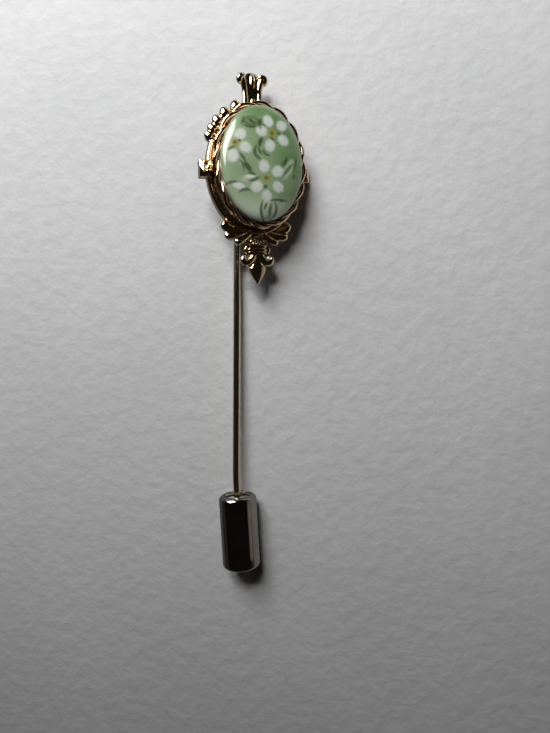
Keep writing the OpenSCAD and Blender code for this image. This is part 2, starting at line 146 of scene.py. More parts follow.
class Bench:
    """The tools of the bench: starts shapes, works them with Blender's operators and finishes them."""

    FULLER = 1.13  # subdividing thins a limb, so its rings are drawn this much wider
    END_REACH = 0.85  # how far a limb's last ring stands off its end, as a share of the radius
    END_SIZE = 0.5  # the size of that ring, as a share of the radius
    SAME_SCALE = 1e-9  # a change of scale under this is left out
    SAME_PLACE = 1e-6  # a turn or a step under this is left out

    @staticmethod
    def clear() -> None:
        """Lets go of everything that is selected."""
        bpy.ops.object.select_all(action="DESELECT")

    @staticmethod
    def hold(*objects: Object) -> None:
        """Selects some objects alone and makes the first one active.

        Args:
            objects: the objects.
        """
        Bench.clear()
        for obj in objects:
            obj.select_set(True)
        bpy.context.view_layer.objects.active = objects[0]

    @staticmethod
    def opened(obj: Object) -> Object:
        """Takes an object into edit mode with all of it selected.

        Args:
            obj: the object.

        Returns:
            The same object.
        """
        Bench.hold(obj)
        bpy.ops.object.mode_set(mode="EDIT")
        bpy.ops.mesh.select_all(action="SELECT")
        return obj

    @staticmethod
    def settle() -> None:
        """Writes the place, turn and scale of what is selected into its mesh."""
        bpy.ops.object.transform_apply(location=True, rotation=True, scale=True)

    @staticmethod
    def disc(name: str, sides: int, radius: float, at: Sequence[float] = (0, 0, 0),
             turn: Sequence[float] = (0, 0, 0), half: Sequence[float] = (1, 1)) -> Object:
        """Starts a filled disc and leaves it in edit mode, selected.

        Args:
            name: the object's name.
            sides: number of edges round it.
            radius: its radius.
            at: its middle.
            turn: its rotation, in radians.
            half: stretch along its own two axes.

        Returns:
            The new object, in edit mode.
        """
        Bench.clear()
        bpy.ops.mesh.primitive_circle_add(vertices=sides, radius=radius, fill_type="NGON", location=at, rotation=turn)
        obj = bpy.context.object
        obj.name = name
        obj.scale = (half[0], half[1], 1)
        Bench.settle()
        return Bench.opened(obj)

    @staticmethod
    def push(move: Sequence[float], scale: float = 1.0, about: Sequence[float] = (0, 0, 0)) -> None:
        """Extrudes what is selected, then moves and scales the new end.

        Args:
            move: how far the new end moves.
            scale: its new size as a share of the old one.
            about: the fixed point of the scaling.
        """
        bpy.ops.mesh.extrude_region_move(TRANSFORM_OT_translate={"value": tuple(move)})
        if abs(scale - 1) > Bench.SAME_SCALE:
            bpy.ops.transform.resize(value=(scale, scale, scale), center_override=tuple(about))

    @staticmethod
    def raised(rows: Profile) -> None:
        """Extrudes what is selected upwards, ring by ring.

        Args:
            rows: rows of size and height, the first one as the selected ring has them.
        """
        (size, z), rest = rows[0], rows[1:]
        for next_size, next_z in rest:
            Bench.push((0, 0, next_z - z), next_size / size, (0, 0, next_z))
            size, z = next_size, next_z

    @staticmethod
    def turned(name: str, sides: int, profile: Profile) -> Object:
        """Turns a solid from a profile, ring by ring from one end of the axis to the other.

        Args:
            name: the object's name.
            sides: number of edges round the axis.
            profile: rows of radius and height.

        Returns:
            The turned solid, out of edit mode.
        """
        obj = Bench.disc(name, sides, profile[0][0], (0, 0, profile[0][1]))
        Bench.raised(profile)
        return Bench.closed(obj)

    @staticmethod
    def closed(obj: Object, merge: float = 1e-5) -> Object:
        """Merges doubles, points the faces outwards and leaves edit mode.

        Args:
            obj: the object that is in edit mode.
            merge: distance under which points become one.

        Returns:
            The same object.
        """
        bpy.ops.mesh.select_all(action="SELECT")
        bpy.ops.mesh.remove_doubles(threshold=merge)
        bpy.ops.mesh.normals_make_consistent(inside=False)
        bpy.ops.object.mode_set(mode="OBJECT")
        return obj

    @staticmethod
    def pick(obj: Object, test: Callable[[bmesh.types.BMFace], bool]) -> None:
        """Selects the faces that pass a test, in edit mode.

        Args:
            obj: the object in edit mode.
            test: says whether a face is wanted.
        """
        bpy.ops.mesh.select_mode(type="FACE")
        bpy.ops.mesh.select_all(action="DESELECT")
        mesh = bmesh.from_edit_mesh(obj.data)
        for face in mesh.faces:
            face.select = test(face)
        mesh.select_flush(True)
        bmesh.update_edit_mesh(obj.data)

    @staticmethod
    def modify(obj: Object, kind: str, **settings: object) -> None:
        """Adds a modifier with its settings and applies it.

        Args:
            obj: the object to work.
            kind: the modifier's type.
            settings: its properties by name.
        """
        Bench.hold(obj)
        modifier = obj.modifiers.new(kind.lower(), kind)
        for key, value in settings.items():
            setattr(modifier, key, value)
        bpy.ops.object.modifier_apply(modifier=modifier.name)

    @staticmethod
    def limb(name: str, stations: Sequence[Station], height: float, sides: int = 8, flat: float = 1.0,
             rise: Sequence[float] = ()) -> Object:
        """Draws out a rounded limb through stations and rounds both its ends.

        Args:
            name: the object's name.
            stations: rows of u, v and radius.
            height: height of its middle line.
            sides: edges round the section before it is subdivided.
            flat: thickness as a share of width.
            rise: height added at each station, if not level.

        Returns:
            The finished limb.
        """
        lift = list(rise) + [0.0] * (len(stations) - len(rise))
        line = [Vector((u, v, height + lift[i])) for i, (u, v, _) in enumerate(stations)]
        radii = [r * Bench.FULLER for _, _, r in stations]
        ahead = [(line[min(i + 1, len(line) - 1)] - line[max(i - 1, 0)]) for i in range(len(line))]
        heading = [atan2(d.y, d.x) for d in ahead]
        start = Vector((cos(heading[0]), sin(heading[0]), 0))
        end = Vector((cos(heading[-1]), sin(heading[-1]), 0))
        reach, size = Bench.END_REACH, Bench.END_SIZE
        rings = [(line[0] - start * radii[0] * reach, radii[0] * size, heading[0])]
        rings += list(zip(line, radii, heading))
        rings += [(line[-1] + end * radii[-1] * reach, radii[-1] * size, heading[-1])]
        at, radius, angle = rings[0]
        obj = Bench.disc(name, sides, radius, at, (pi / 2, 0, angle + pi / 2))
        for next_at, next_r, next_angle in rings[1:]:
            Bench.push(next_at - at, next_r / radius, next_at)
            swing = (next_angle - angle + pi) % (2 * pi) - pi
            if abs(swing) > Bench.SAME_PLACE:
                bpy.ops.transform.rotate(value=-swing, orient_axis="Z", center_override=tuple(next_at))
            at, radius, angle = next_at, next_r, next_angle
        Bench.closed(obj)
        if flat != 1.0:
            Bench.squash(obj, flat, height)
        Bench.modify(obj, "SUBSURF", levels=2, render_levels=2)
        return obj

    @staticmethod
    def copy(obj: Object, place: Matrix) -> Object:
        """Copies an object with a mesh of its own and puts the copy elsewhere.

        Args:
            obj: the object to copy.
            place: where the copy goes.

        Returns:
            The copy, its place in its mesh.
        """
        twin = obj.copy()
        twin.data = obj.data.copy()
        bpy.context.scene.collection.objects.link(twin)
        twin.matrix_world = place
        Bench.hold(twin)
        Bench.settle()
        return twin

    @staticmethod
    def join(name: str, parts: Sequence[Object]) -> Object:
        """Joins parts into one object.

        Args:
            name: the new name.
            parts: the objects to join.

        Returns:
            The joined object.
        """
        Bench.hold(*parts)
        if len(parts) > 1:
            bpy.ops.object.join()
        obj = bpy.context.object
        obj.name = name
        return obj

    @staticmethod
    def mirrored(obj: Object) -> Object:
        """Adds the left half of a form that lies on the right, and returns the whole."""
        Bench.modify(obj, "MIRROR", use_axis=(True, False, False), use_mirror_merge=False)
        return obj

    @staticmethod
    def squash(obj: Object, share: float, height: float) -> None:
        """Flattens an object towards a height.

        Args:
            obj: the object.
            share: its new thickness as a share of the old one.
            height: the height that stays.
        """
        Bench.opened(obj)
        bpy.ops.transform.resize(value=(1, 1, share), center_override=(0, 0, height))
        bpy.ops.object.mode_set(mode="OBJECT")

    @staticmethod
    def melt(obj: Object, grain: float, soften: int) -> None:
        """Melts overlapping forms into one skin of small cells and smooths it a number of times."""
        Bench.modify(obj, "REMESH", mode="VOXEL", voxel_size=grain, adaptivity=0.0)
        Bench.modify(obj, "SMOOTH", factor=0.5, iterations=soften)

    @staticmethod
    def cast(obj: Object, grain: float, soften: int) -> Object:
        """Melts overlapping forms into one cast skin and cuts it flat at the back.

        Args:
            obj: the joined forms.
            grain: size of the skin's cells.
            soften: number of smoothing passes.

        Returns:
            The same object.
        """
        Bench.melt(obj, grain, soften)
        Bench.opened(obj)
        bpy.ops.mesh.bisect(plane_co=(0, 0, 0), plane_no=(0, 0, 1), use_fill=True, clear_inner=True)
        bpy.ops.object.mode_set(mode="OBJECT")
        return obj

    @staticmethod
    def place(obj: Object, place: Matrix, material: Material, body: Body, slot: str,
              node: str, crease: float = 40.0) -> Object:
        """Puts a finished piece on the table, shades it, dresses it and hands it to its body.

        Args:
            obj: the piece in its own millimetres.
            place: the matrix to the table in metres.
            material: its finish.
            body: the body that it rides on.
            slot: not used.
            node: the solid that it stands for.
            crease: angle in degrees over which an edge stays sharp.

        Returns:
            The same piece.
        """
        Bench.hold(obj)
        obj.matrix_world = place
        Bench.settle()
        bpy.ops.object.shade_smooth_by_angle(angle=radians(crease))
        obj.data.materials.clear()
        obj.data.materials.append(material)
        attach(obj, body.value)
        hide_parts(node)
        triangles = sum(len(p.vertices) - 2 for p in obj.data.polygons)
        LOG.info("%s: rides on %s, %d triangles", obj.name, body.value, triangles)
        return obj


# ---------------------------------------------------------------- finishes


class Tree:
    """A short way to write node trees."""

    def __init__(self, tree: NodeTree) -> None:
        """Keeps the tree that nodes are added to."""
        self.tree = tree

    def node(self, kind: str, inputs: dict | None = None, **settings: object) -> Node:
        """Adds a node.

        Args:
            kind: the node's type name without its prefix.
            inputs: socket name or number to a value or to another node's output.
            settings: the node's properties.

        Returns:
            The new node.
        """
        made = self.tree.nodes.new("ShaderNode" + kind)
        for key, value in settings.items():
            setattr(made, key, value)
        self.feed(made, inputs or {})
        return made

    def feed(self, node: Node, inputs: dict) -> None:
        """Fills a node's inputs.

        Args:
            node: the node.
            inputs: socket name or number to a value or to another node's output.
        """
        for key, value in inputs.items():
            if isinstance(value, NodeSocket):
                self.tree.links.new(value, node.inputs[key])
            else:
                node.inputs[key].default_value = value

    def math(self, operation: str, a: object, b: object = 0.0, clamp: bool = False) -> NodeSocket:
        """Adds a Math node on two values and returns its output."""
        return self.node("Math", {0: a, 1: b}, operation=operation, use_clamp=clamp).outputs[0]

    def vector(self, operation: str, a: object, b: object = (0.0, 0.0, 0.0)) -> NodeSocket:
        """Adds a Vector Math node and returns its vector, or its value where it measures."""
        made = self.node("VectorMath", {0: a, 1: b}, operation=operation)
        return made.outputs["Value" if operation in ("LENGTH", "DISTANCE") else "Vector"]

    def scaled(self, colour: object, share: object) -> NodeSocket:
        """Multiplies a colour by a value and returns the result."""
        return self.node("VectorMath", {0: colour, "Scale": share}, operation="SCALE").outputs[0]

    def noise(self, place: object, scale: object, detail: float, roughness: float = 0.5) -> NodeSocket:
        """Adds a noise texture and returns its value."""
        inputs = {"Vector": place, "Scale": scale, "Detail": detail, "Roughness": roughness}
        return self.node("TexNoise", inputs).outputs[0]

    def bump(self, strength: float, depth: float, height: object) -> NodeSocket:
        """Adds a bump of so many millimetres and returns its normal."""
        inputs = {"Strength": strength, "Distance": depth * MILLIMETRE, "Height": height}
        return self.node("Bump", inputs).outputs[0]

    def blend(self, share: object, a: object, b: object) -> NodeSocket:
        """Mixes this share of the second colour into the first one and returns the result."""
        return self.node("Mix", {0: share, 6: a, 7: b}, data_type="RGBA").outputs[2]

    def span(self, value: object, low: float, high: float, to_low: float = 0.0, to_high: float = 1.0,
             smooth: bool = True) -> NodeSocket:
        """Maps a value from one range to another.

        Args:
            value: what is mapped.
            low: start of the source range.
            high: end of the source range.
            to_low: value given at the start.
            to_high: value given at the end.
            smooth: eased rather than straight.

        Returns:
            The mapped value's socket.
        """
        kind = "SMOOTHSTEP" if smooth else "LINEAR"
        return self.node("MapRange", {"Value": value, "From Min": low, "From Max": high, "To Min": to_low,
                                      "To Max": to_high}, interpolation_type=kind).outputs[0]


def rgba(red: float, green: float, blue: float) -> Colour:
    """Returns a colour with full opacity."""
    return (red, green, blue, 1.0)


def new_group(name: str, inputs: Sequence[tuple[str, str, object]],
              outputs: Sequence[tuple[str, str]]) -> tuple[Tree, Sequence[NodeSocket], Node]:
    """Starts a shader node group.

    Args:
        name: the group's name.
        inputs: rows of socket name, short type and starting value.
        outputs: rows of socket name and short type.

    Returns:
        The tree to fill, the sockets that the group is given, by name, and its output node.
    """
    tree = bpy.data.node_groups.new(name, "ShaderNodeTree")
    for label, kind, value in inputs:
        socket = tree.interface.new_socket(name=label, in_out="INPUT", socket_type="NodeSocket" + kind)
        socket.default_value = value
    for label, kind in outputs:
        tree.interface.new_socket(name=label, in_out="OUTPUT", socket_type="NodeSocket" + kind)
    enter = tree.nodes.new("NodeGroupInput")
    return Tree(tree), enter.outputs, tree.nodes.new("NodeGroupOutput")


class Effects:
    """The effects that several finishes share, each built once as a node group."""

    def __init__(self) -> None:
        """Builds the groups."""
        self.tarnish = self.build_tarnish()
        self.scuffs = self.build_scuffs()
        self.dab = self.build_dab()

    def build_tarnish(self) -> NodeTree:
        """Builds cloudy tarnish: a soft mask, small pits and a height.

        Returns:
            The node group.
        """
        t, given, leave = new_group("Tarnish", [("Place", "Vector", (0, 0, 0)), ("Cloud Size", "Float", 1.0),
                                                ("Pit Size", "Float", 1.0)],
                                    [("Cloud", "Float"), ("Pits", "Float"), ("Height", "Float")])
        cloud = t.noise(given["Place"], given["Cloud Size"], 4.0, 0.6)
        pits = t.noise(given["Place"], given["Pit Size"], 3.0, 0.7)
        soft = t.span(cloud, 0.4, 0.68)
        sharp = t.span(pits, 0.55, 0.75)
        height = t.math("SUBTRACT", t.math("MULTIPLY", cloud, 0.6), t.math("MULTIPLY", sharp, 0.5))
        t.feed(leave, {"Cloud": soft, "Pits": sharp, "Height": height})
        return t.tree

    def build_scuffs(self) -> NodeTree:
        """Builds fine rubbed lines that run along one axis of the piece.

        Returns:
            The node group.
        """
        t, given, leave = new_group("Scuffs", [("Place", "Vector", (0, 0, 0)), ("Stretch", "Vector", (1, 1, 1))],
                                    [("Lines", "Float")])
        pulled = t.vector("MULTIPLY", given["Place"], given["Stretch"])
        t.feed(leave, {"Lines": t.span(t.noise(pulled, 1.0, 5.0, 0.65), 0.35, 0.7)})
        return t.tree

    def build_dab(self) -> NodeTree:
        """Builds one brush dab: a bowed oval mask with a wavering edge.

        Returns:
            The node group.
        """
        t, given, leave = new_group("BrushDab", [("Place", "Vector", (0, 0, 0)), ("Middle", "Vector", (0, 0, 0)),
                                                 ("Turn", "Float", 0.0), ("Share", "Vector", (1, 1, 0)),
                                                 ("Waver", "Float", 0.0), ("Soft", "Float", 0.2),
                                                 ("Bow", "Float", 0.0)], [("Mask", "Float")])
        off = t.vector("SUBTRACT", given["Place"], given["Middle"])
        turned = t.node("VectorRotate", {"Vector": off, "Angle": given["Turn"]}, rotation_type="Z_AXIS").outputs[0]
        line = t.node("SeparateXYZ", {0: turned}).outputs
        bow = t.math("MULTIPLY", t.math("MULTIPLY", line[0], line[0]), given["Bow"])
        bent = t.node("CombineXYZ", {0: line[0], 1: t.math("ADD", line[1], bow)}).outputs[0]
        reach = t.vector("LENGTH", t.vector("MULTIPLY", bent, given["Share"]))
        wavy = t.math("ADD", reach, given["Waver"])
        outer, inner = t.math("ADD", 1.0, given["Soft"]), t.math("SUBTRACT", 1.0, given["Soft"])
        t.feed(leave, {"Mask": t.span(wavy, outer, inner)})
        return t.tree

    def tarnished(self, t: Tree, place: object, cloud_size: float, pit_size: float) -> tuple:
        """Tarnishes a material and returns the sockets of the cloud, the pits and the height."""
        inputs = {"Place": place, "Cloud Size": cloud_size, "Pit Size": pit_size}
        return tuple(t.node("Group", inputs, node_tree=self.tarnish).outputs)


def start_material(name: str) -> tuple[Material, Tree, Node]:
    """Starts a material.

    Args:
        name: its name.

    Returns:
        The material, its tree and the Principled shader in it.
    """
    material = bpy.data.materials.new(name)
    material.use_nodes = True
    return material, Tree(material.node_tree), material.node_tree.nodes["Principled BSDF"]


def piece_place(t: Tree, matrix: Matrix | None = None) -> NodeSocket:
    """Adds the piece's own coordinates in millimetres.

    Args:
        t: the material's tree.
        matrix: the matrix from the piece's axes to the table in metres, or none for the table's axes.

    Returns:
        The socket with the place.
    """
    coords = t.node("TexCoord").outputs["Object"]
    back = (matrix or Matrix.Scale(MILLIMETRE, 4)).inverted()
    where, turn, scale = back.decompose()
    mapping = t.node("Mapping", {"Vector": coords, "Location": where, "Rotation": turn.to_euler("XYZ"),
                                 "Scale": scale}, vector_type="POINT")
    return mapping.outputs[0]


@dataclass(frozen=True)
class Gilt:
    """Gold plate on cast brass: polished where it was rubbed, with grime and painted shade in the hollows."""

    name: str = "gilt_casting"
    gold: Colour = rgba(0.86, 0.70, 0.45)
    worn: Colour = rgba(0.71, 0.53, 0.34)
    worn_share: float = 0.55
    painted_copper_reflection: Colour = rgba(0.84, 0.54, 0.35)  # painted coppery reflection of gold on gold over the rope, coming in from one height to the other
    painted_copper_share: float = 0.7
    rope_from: float = 2.9
    rope_to: float = 3.5
    hollow: Colour = rgba(0.09, 0.066, 0.052)  # grime and painted shade, full at the low height and gone at the high one
    grime_and_shade_share: float = 0.88
    grime_and_shade_low: float = 0.42
    grime_and_shade_high: float = 0.88
    pits_low: float = 0.75  # share of the grime and painted shade that lies between the pits
    wall_from: float = 0.955  # painted shade on the bezel wall, by shares of the frame's half width
    wall_to: float = 0.915
    wall_painted_shade: float = 0.9
    wall_v: float = -4.0  # painted shade full from here to the lower end
    crest: float = 4.2  # no painted shade over this height
    crest_fade: float = 0.35
    cloud_size: float = 0.55
    pit_size: float = 3.5
    smooth: float = 0.06
    clouded: float = 1.9  # roughness in the clouds, as a multiple of smooth
    dull: float = 0.3  # roughness that full grime and painted shade add
    bump: float = 0.35
    pit_depth: float = 0.0025

    def material(self, effects: Effects) -> Material:
        """Builds the material: grime and painted shade lie low, painted shade on the bezel wall at the stone's lower
        end, a painted coppery reflection on the rope.

        Args:
            effects: the shared groups.

        Returns:
            The material.
        """
        made, t, shader = start_material(self.name)
        place = piece_place(t, LIE.on_head())
        cloud, pits, relief = effects.tarnished(t, place, self.cloud_size, self.pit_size)
        where = t.node("SeparateXYZ", {0: place}).outputs
        height = where[2]
        frame_size = (1 / (OVAL.half_w + OVAL.margin), 1 / (OVAL.half_l + OVAL.margin), 0)
        reach = t.vector("LENGTH", t.vector("MULTIPLY", place, frame_size))
        # painted shade on the bezel wall, under the crest
        wall = t.math("MULTIPLY", t.span(reach, self.wall_from, self.wall_to, 0.0, self.wall_painted_shade),
                      t.span(height, self.crest, self.crest - self.crest_fade))
        # painted shade on that wall at the stone's lower end only
        foot = t.math("MULTIPLY", t.span(where[1], 0.0, self.wall_v), wall)
        # grime and painted shade in the low places, joined with the painted shade at the stone's lower end
        deep = t.math("MAXIMUM", t.span(height, self.grime_and_shade_high, self.grime_and_shade_low), foot)
        grime_and_shade = t.math("MULTIPLY", deep, t.span(pits, 0.0, 1.0, self.pits_low, 1.0), clamp=True)
        cloudy = t.blend(t.math("MULTIPLY", cloud, self.worn_share), self.gold, self.worn)
        # painted coppery reflection on the rope
        painted_copper_mask = t.math("MULTIPLY", t.span(height, self.rope_from, self.rope_to), self.painted_copper_share)
        with_painted_copper = t.blend(painted_copper_mask, cloudy, self.painted_copper_reflection)
        rough = t.math("ADD", t.span(cloud, 0.0, 1.0, self.smooth, self.smooth * self.clouded),
                       t.math("MULTIPLY", grime_and_shade, self.dull))
        t.feed(shader, {"Base Color": t.blend(t.math("MULTIPLY", grime_and_shade, self.grime_and_shade_share), with_painted_copper, self.hollow),
                        "Roughness": rough, "Metallic": 1.0, "Normal": t.bump(self.bump, self.pit_depth, relief)})
        return made


@dataclass(frozen=True)
class PolishedMetal:
    """Drawn or turned metal with fine rubbed lines along its length."""

    name: str
    bright: Colour
    dark: Colour
    smooth: float  # roughness between the rubbed lines
    rubbed: float  # roughness on them
    stretch: Point  # how fast their pattern changes along each axis
    depth: float = 0.004
    bump: float = 0.3
    cloud_size: float = 0.4
    cloud_share: float = 0.6
    pit_size: float = 3.0
    pits_dull: float = 0.08  # roughness that pits add

    def material(self, effects: Effects) -> Material:
        """Builds the material.

        Args:
            effects: the shared groups.

        Returns:
            The material.
        """
        made, t, shader = start_material(self.name)
        place = piece_place(t, LIE.on_tip())
        lines = t.node("Group", {"Place": place, "Stretch": self.stretch}, node_tree=effects.scuffs).outputs[0]
        cloud, pits, _ = effects.tarnished(t, place, self.cloud_size, self.pit_size)
        rough = t.math("ADD", t.span(lines, 0.0, 1.0, self.smooth, self.rubbed),
                       t.math("MULTIPLY", pits, self.pits_dull))
        t.feed(shader, {"Base Color": t.blend(t.math("MULTIPLY", cloud, self.cloud_share), self.bright, self.dark),
                        "Roughness": rough, "Metallic": 1.0, "Normal": t.bump(self.bump, self.depth, lines)})
        return made


@dataclass(frozen=True)
class Bush:
    """Pale moulded bush in the clutch's mouth, a little dirty."""

    name: str = "clutch_bush"
    clean: Colour = rgba(0.62, 0.62, 0.59)
    dirty: Colour = rgba(0.34, 0.32, 0.28)
    dirt_share: float = 0.6
    cloud_size: float = 1.1
    pit_size: float = 9.0
    smooth: float = 0.42
    rough: float = 0.6
    bump: float = 0.4
    depth: float = 0.01

    def material(self, effects: Effects) -> Material:
        """Builds the material.

        Args:
            effects: the shared groups.

        Returns:
            The material.
        """
        made, t, shader = start_material(self.name)
        cloud, pits, relief = effects.tarnished(t, piece_place(t, LIE.on_tip()), self.cloud_size, self.pit_size)
        t.feed(shader, {"Base Color": t.blend(t.math("MULTIPLY", cloud, self.dirt_share), self.clean, self.dirty),
                        "Roughness": t.span(pits, 0.0, 1.0, self.smooth, self.rough),
                        "Normal": t.bump(self.bump, self.depth, relief)})
        return made


@dataclass(frozen=True)
class Paper:
    """The floor's pale paper, with painted shade. Each span is its two ends, in millimetres, and the value at each.
    """

    name: str = "floor_paper"
    dark: Colour = rgba(0.72, 0.725, 0.73)
    light: Colour = rgba(0.78, 0.78, 0.78)
    broad_scale: float = 0.04
    grain_scale: float = 0.5
    grain_rough: float = 0.52
    bump: float = 0.5
    depth: float = 0.42
    rough: float = 0.75
    painted_shade_lower_edge: tuple = (-75.0, 55.0, 0.5, 1.0)  # painted shade: darker towards the camera's lower edge
    lamps_at: Point = (-40.0, 170.0, 0.0)
    painted_shade_under_lamps: tuple = (15.0, 115.0, 0.4, 1.0)  # painted shade: darker right under the lamps
    painted_reflection_left: tuple = (-32.0, -12.0, 0.04, 0.3)  # painted shade in the floor's reflection: how much of it the metal mirrors, from left to right
    painted_reflection_right: tuple = (-12.0, 10.0, 0.0, 0.55)

    def material(self) -> Material:
        """Builds the material: painted shade towards the camera's lower edge and right under the lamps, and painted
        shade in what the polished metal mirrors of it.

        Returns:
            The material.
        """
        made, t, shader = start_material(self.name)
        place = piece_place(t)
        broad = t.noise(place, self.broad_scale, 3.0)
        grain = t.noise(place, self.grain_scale, 3.0, self.grain_rough)
        shade = t.math("ADD", t.span(broad, 0.3, 0.7, -0.5, 0.5), t.span(grain, 0.3, 0.7, -0.4, 0.4))
        mottled = t.blend(t.span(shade, -1.0, 1.0), self.dark, self.light)
        where = t.node("SeparateXYZ", {0: place}).outputs
        # painted shade: darker towards the camera's lower edge and right under the lamps
        lower_edge_shade = t.span(where[1], *self.painted_shade_lower_edge, smooth=False)
        painted_falloff = t.math("MULTIPLY", lower_edge_shade, t.span(t.vector("DISTANCE", place, self.lamps_at), *self.painted_shade_under_lamps))
        floor_with_painted_falloff = t.scaled(mottled, painted_falloff)
        # painted shade in what the polished metal mirrors of the floor
        dim = t.math("ADD", t.span(where[0], *self.painted_reflection_left), t.span(where[0], *self.painted_reflection_right))
        colour = t.blend(t.node("LightPath").outputs["Is Glossy Ray"], floor_with_painted_falloff, t.scaled(floor_with_painted_falloff, dim))
        t.feed(shader, {"Base Color": colour, "Roughness": self.rough,
                        "Normal": t.bump(self.bump, self.depth, grain)})
        return made


class Paint(Enum):
    """The colours on the painter's plate, in the order in which they are laid."""

    SHADE = "shade"
    PALE_LEAF = "pale_leaf"
    LEAF = "leaf"
    PETAL = "petal"
    HALO = "halo"
    STROKE = "stroke"
    EYE = "eye"


@dataclass(frozen=True)
class Dab:
    """One brush dab on the stone, in the head's millimetres."""

    paint: Paint
    u: float
    v: float
    length: float
    width: float
    turn: float = 0.0
    bow: float = 0.0


def flower(u: float, v: float, petals: Sequence[tuple[float, float]], long: float = 1.65,
           wide: float = 1.4) -> list[Dab]:
    """Paints one blossom: petals round an eye.

    Args:
        u: the eye's place across the stone.
        v: the eye's place along it.
        petals: the middles of the petals.
        long: a petal's length, from the eye outwards.
        wide: a petal's width.

    Returns:
        Its dabs.
    """
    dabs = [Dab(Paint.HALO, u, v, 1.5, 1.3)]
    for pu, pv in petals:
        dabs.append(Dab(Paint.PETAL, pu, pv, long, wide, degrees(atan2(pv - v, pu - u))))
    dabs.append(Dab(Paint.EYE, u, v, 0.62, 0.55))
    return dabs


def spray() -> list[Dab]:
    """Lays out the painted spray of blossom on the stone.

    Returns:
        All its dabs.
    """
    dabs = flower(1.36, 4.15, [(0.97, 5.79), (2.91, 5.38), (-0.03, 4.38), (1.03, 2.5), (2.97, 3.38)])
    dabs += flower(-3.74, 2.74, [(-2.95, 3.78), (-2.38, 2.09), (-4.03, 0.95)])
    dabs += flower(0.38, -1.85, [(0.09, -0.32), (2.03, -0.85), (-0.97, -3.02), (2.09, -2.91), (0.44, -4.22)])
    greenery = {
        Paint.LEAF: [(-1.32, 5.6, 2.7, 1.6, -8), (-0.35, 3.0, 0.9, 0.55, 60), (-2.26, -0.44, 1.25, 0.6, -62),
                     (0.35, 5.1, 0.9, 0.5, 25)],
        Paint.PALE_LEAF: [(3.65, -0.45, 3.1, 1.15, 58), (0.68, -6.15, 2.6, 2.1, 90), (-2.15, -1.97, 2.0, 0.9, 8),
                          (-1.5, 5.75, 1.6, 0.7, -8)],
        Paint.PETAL: [(-3.3, -2.97, 1.75, 0.8, -22), (-1.9, -1.72, 1.2, 0.45, 6)],
        Paint.SHADE: [(-2.2, -1.25, 1.9, 0.5, 12), (-4.1, 2.1, 1.2, 0.7, 30), (0.5, 1.9, 1.6, 0.8, 70)],
        Paint.STROKE: [
            (-1.35, 5.65, 1.2, 0.4, -35), (-0.25, 5.35, 1.3, 0.5, 80, 0.12), (-1.6, 4.85, 1.8, 0.36, -6, -0.15),
            (-2.45, 5.7, 1.1, 0.3, 65, -0.15), (-0.35, 2.75, 1.5, 0.5, 68, 0.12), (-1.15, 1.45, 2.0, 0.48, 96, 0.45),
            (-0.7, 0.85, 0.9, 0.4, -45), (-0.45, 1.65, 1.0, 0.36, -60), (0.2, 1.45, 0.9, 0.34, -50),
            (0.6, 1.2, 0.6, 0.3, -20), (-2.75, 0.75, 1.5, 0.36, -55, 0.1), (-2.1, -0.5, 1.7, 0.62, -50, 0.1),
            (-2.75, -0.3, 1.4, 0.28, -75, 0.2), (-4.35, -2.45, 1.6, 0.4, 10, 0.15), (-2.6, -3.4, 1.5, 0.42, 6, 0.25),
            (-1.3, -2.15, 1.7, 0.4, 20, -0.15), (-1.6, -1.35, 1.0, 0.4, -10), (3.15, 0.4, 1.5, 0.46, 55, -0.15),
            (3.5, -0.55, 2.4, 0.46, 50, 0.1), (4.75, 0.3, 1.5, 0.4, 75, -0.1), (4.5, -1.35, 0.8, 0.36, 70),
            (2.2, -4.6, 2.6, 0.36, 2, 0.12), (2.6, -4.65, 0.9, 0.42, 0), (-0.3, -6.1, 2.6, 0.4, 98, 0.4),
            (0.98, -5.95, 1.7, 0.5, 84, 0.1), (1.9, -6.0, 2.3, 0.44, 84, -0.45), (0.3, -5.5, 1.0, 0.34, 70),
            (0.25, -3.0, 0.6, 0.5, 30), (1.38, 3.4, 0.8, 0.34, -30), (2.4, 4.2, 0.6, 0.34, -20),
            (-4.2, 2.0, 1.0, 0.34, 25), (-3.15, 2.95, 0.4, 0.34, 0),
        ],
    }
    for paint, rows in greenery.items():
        dabs += [Dab(paint, *row) for row in rows]
    return dabs


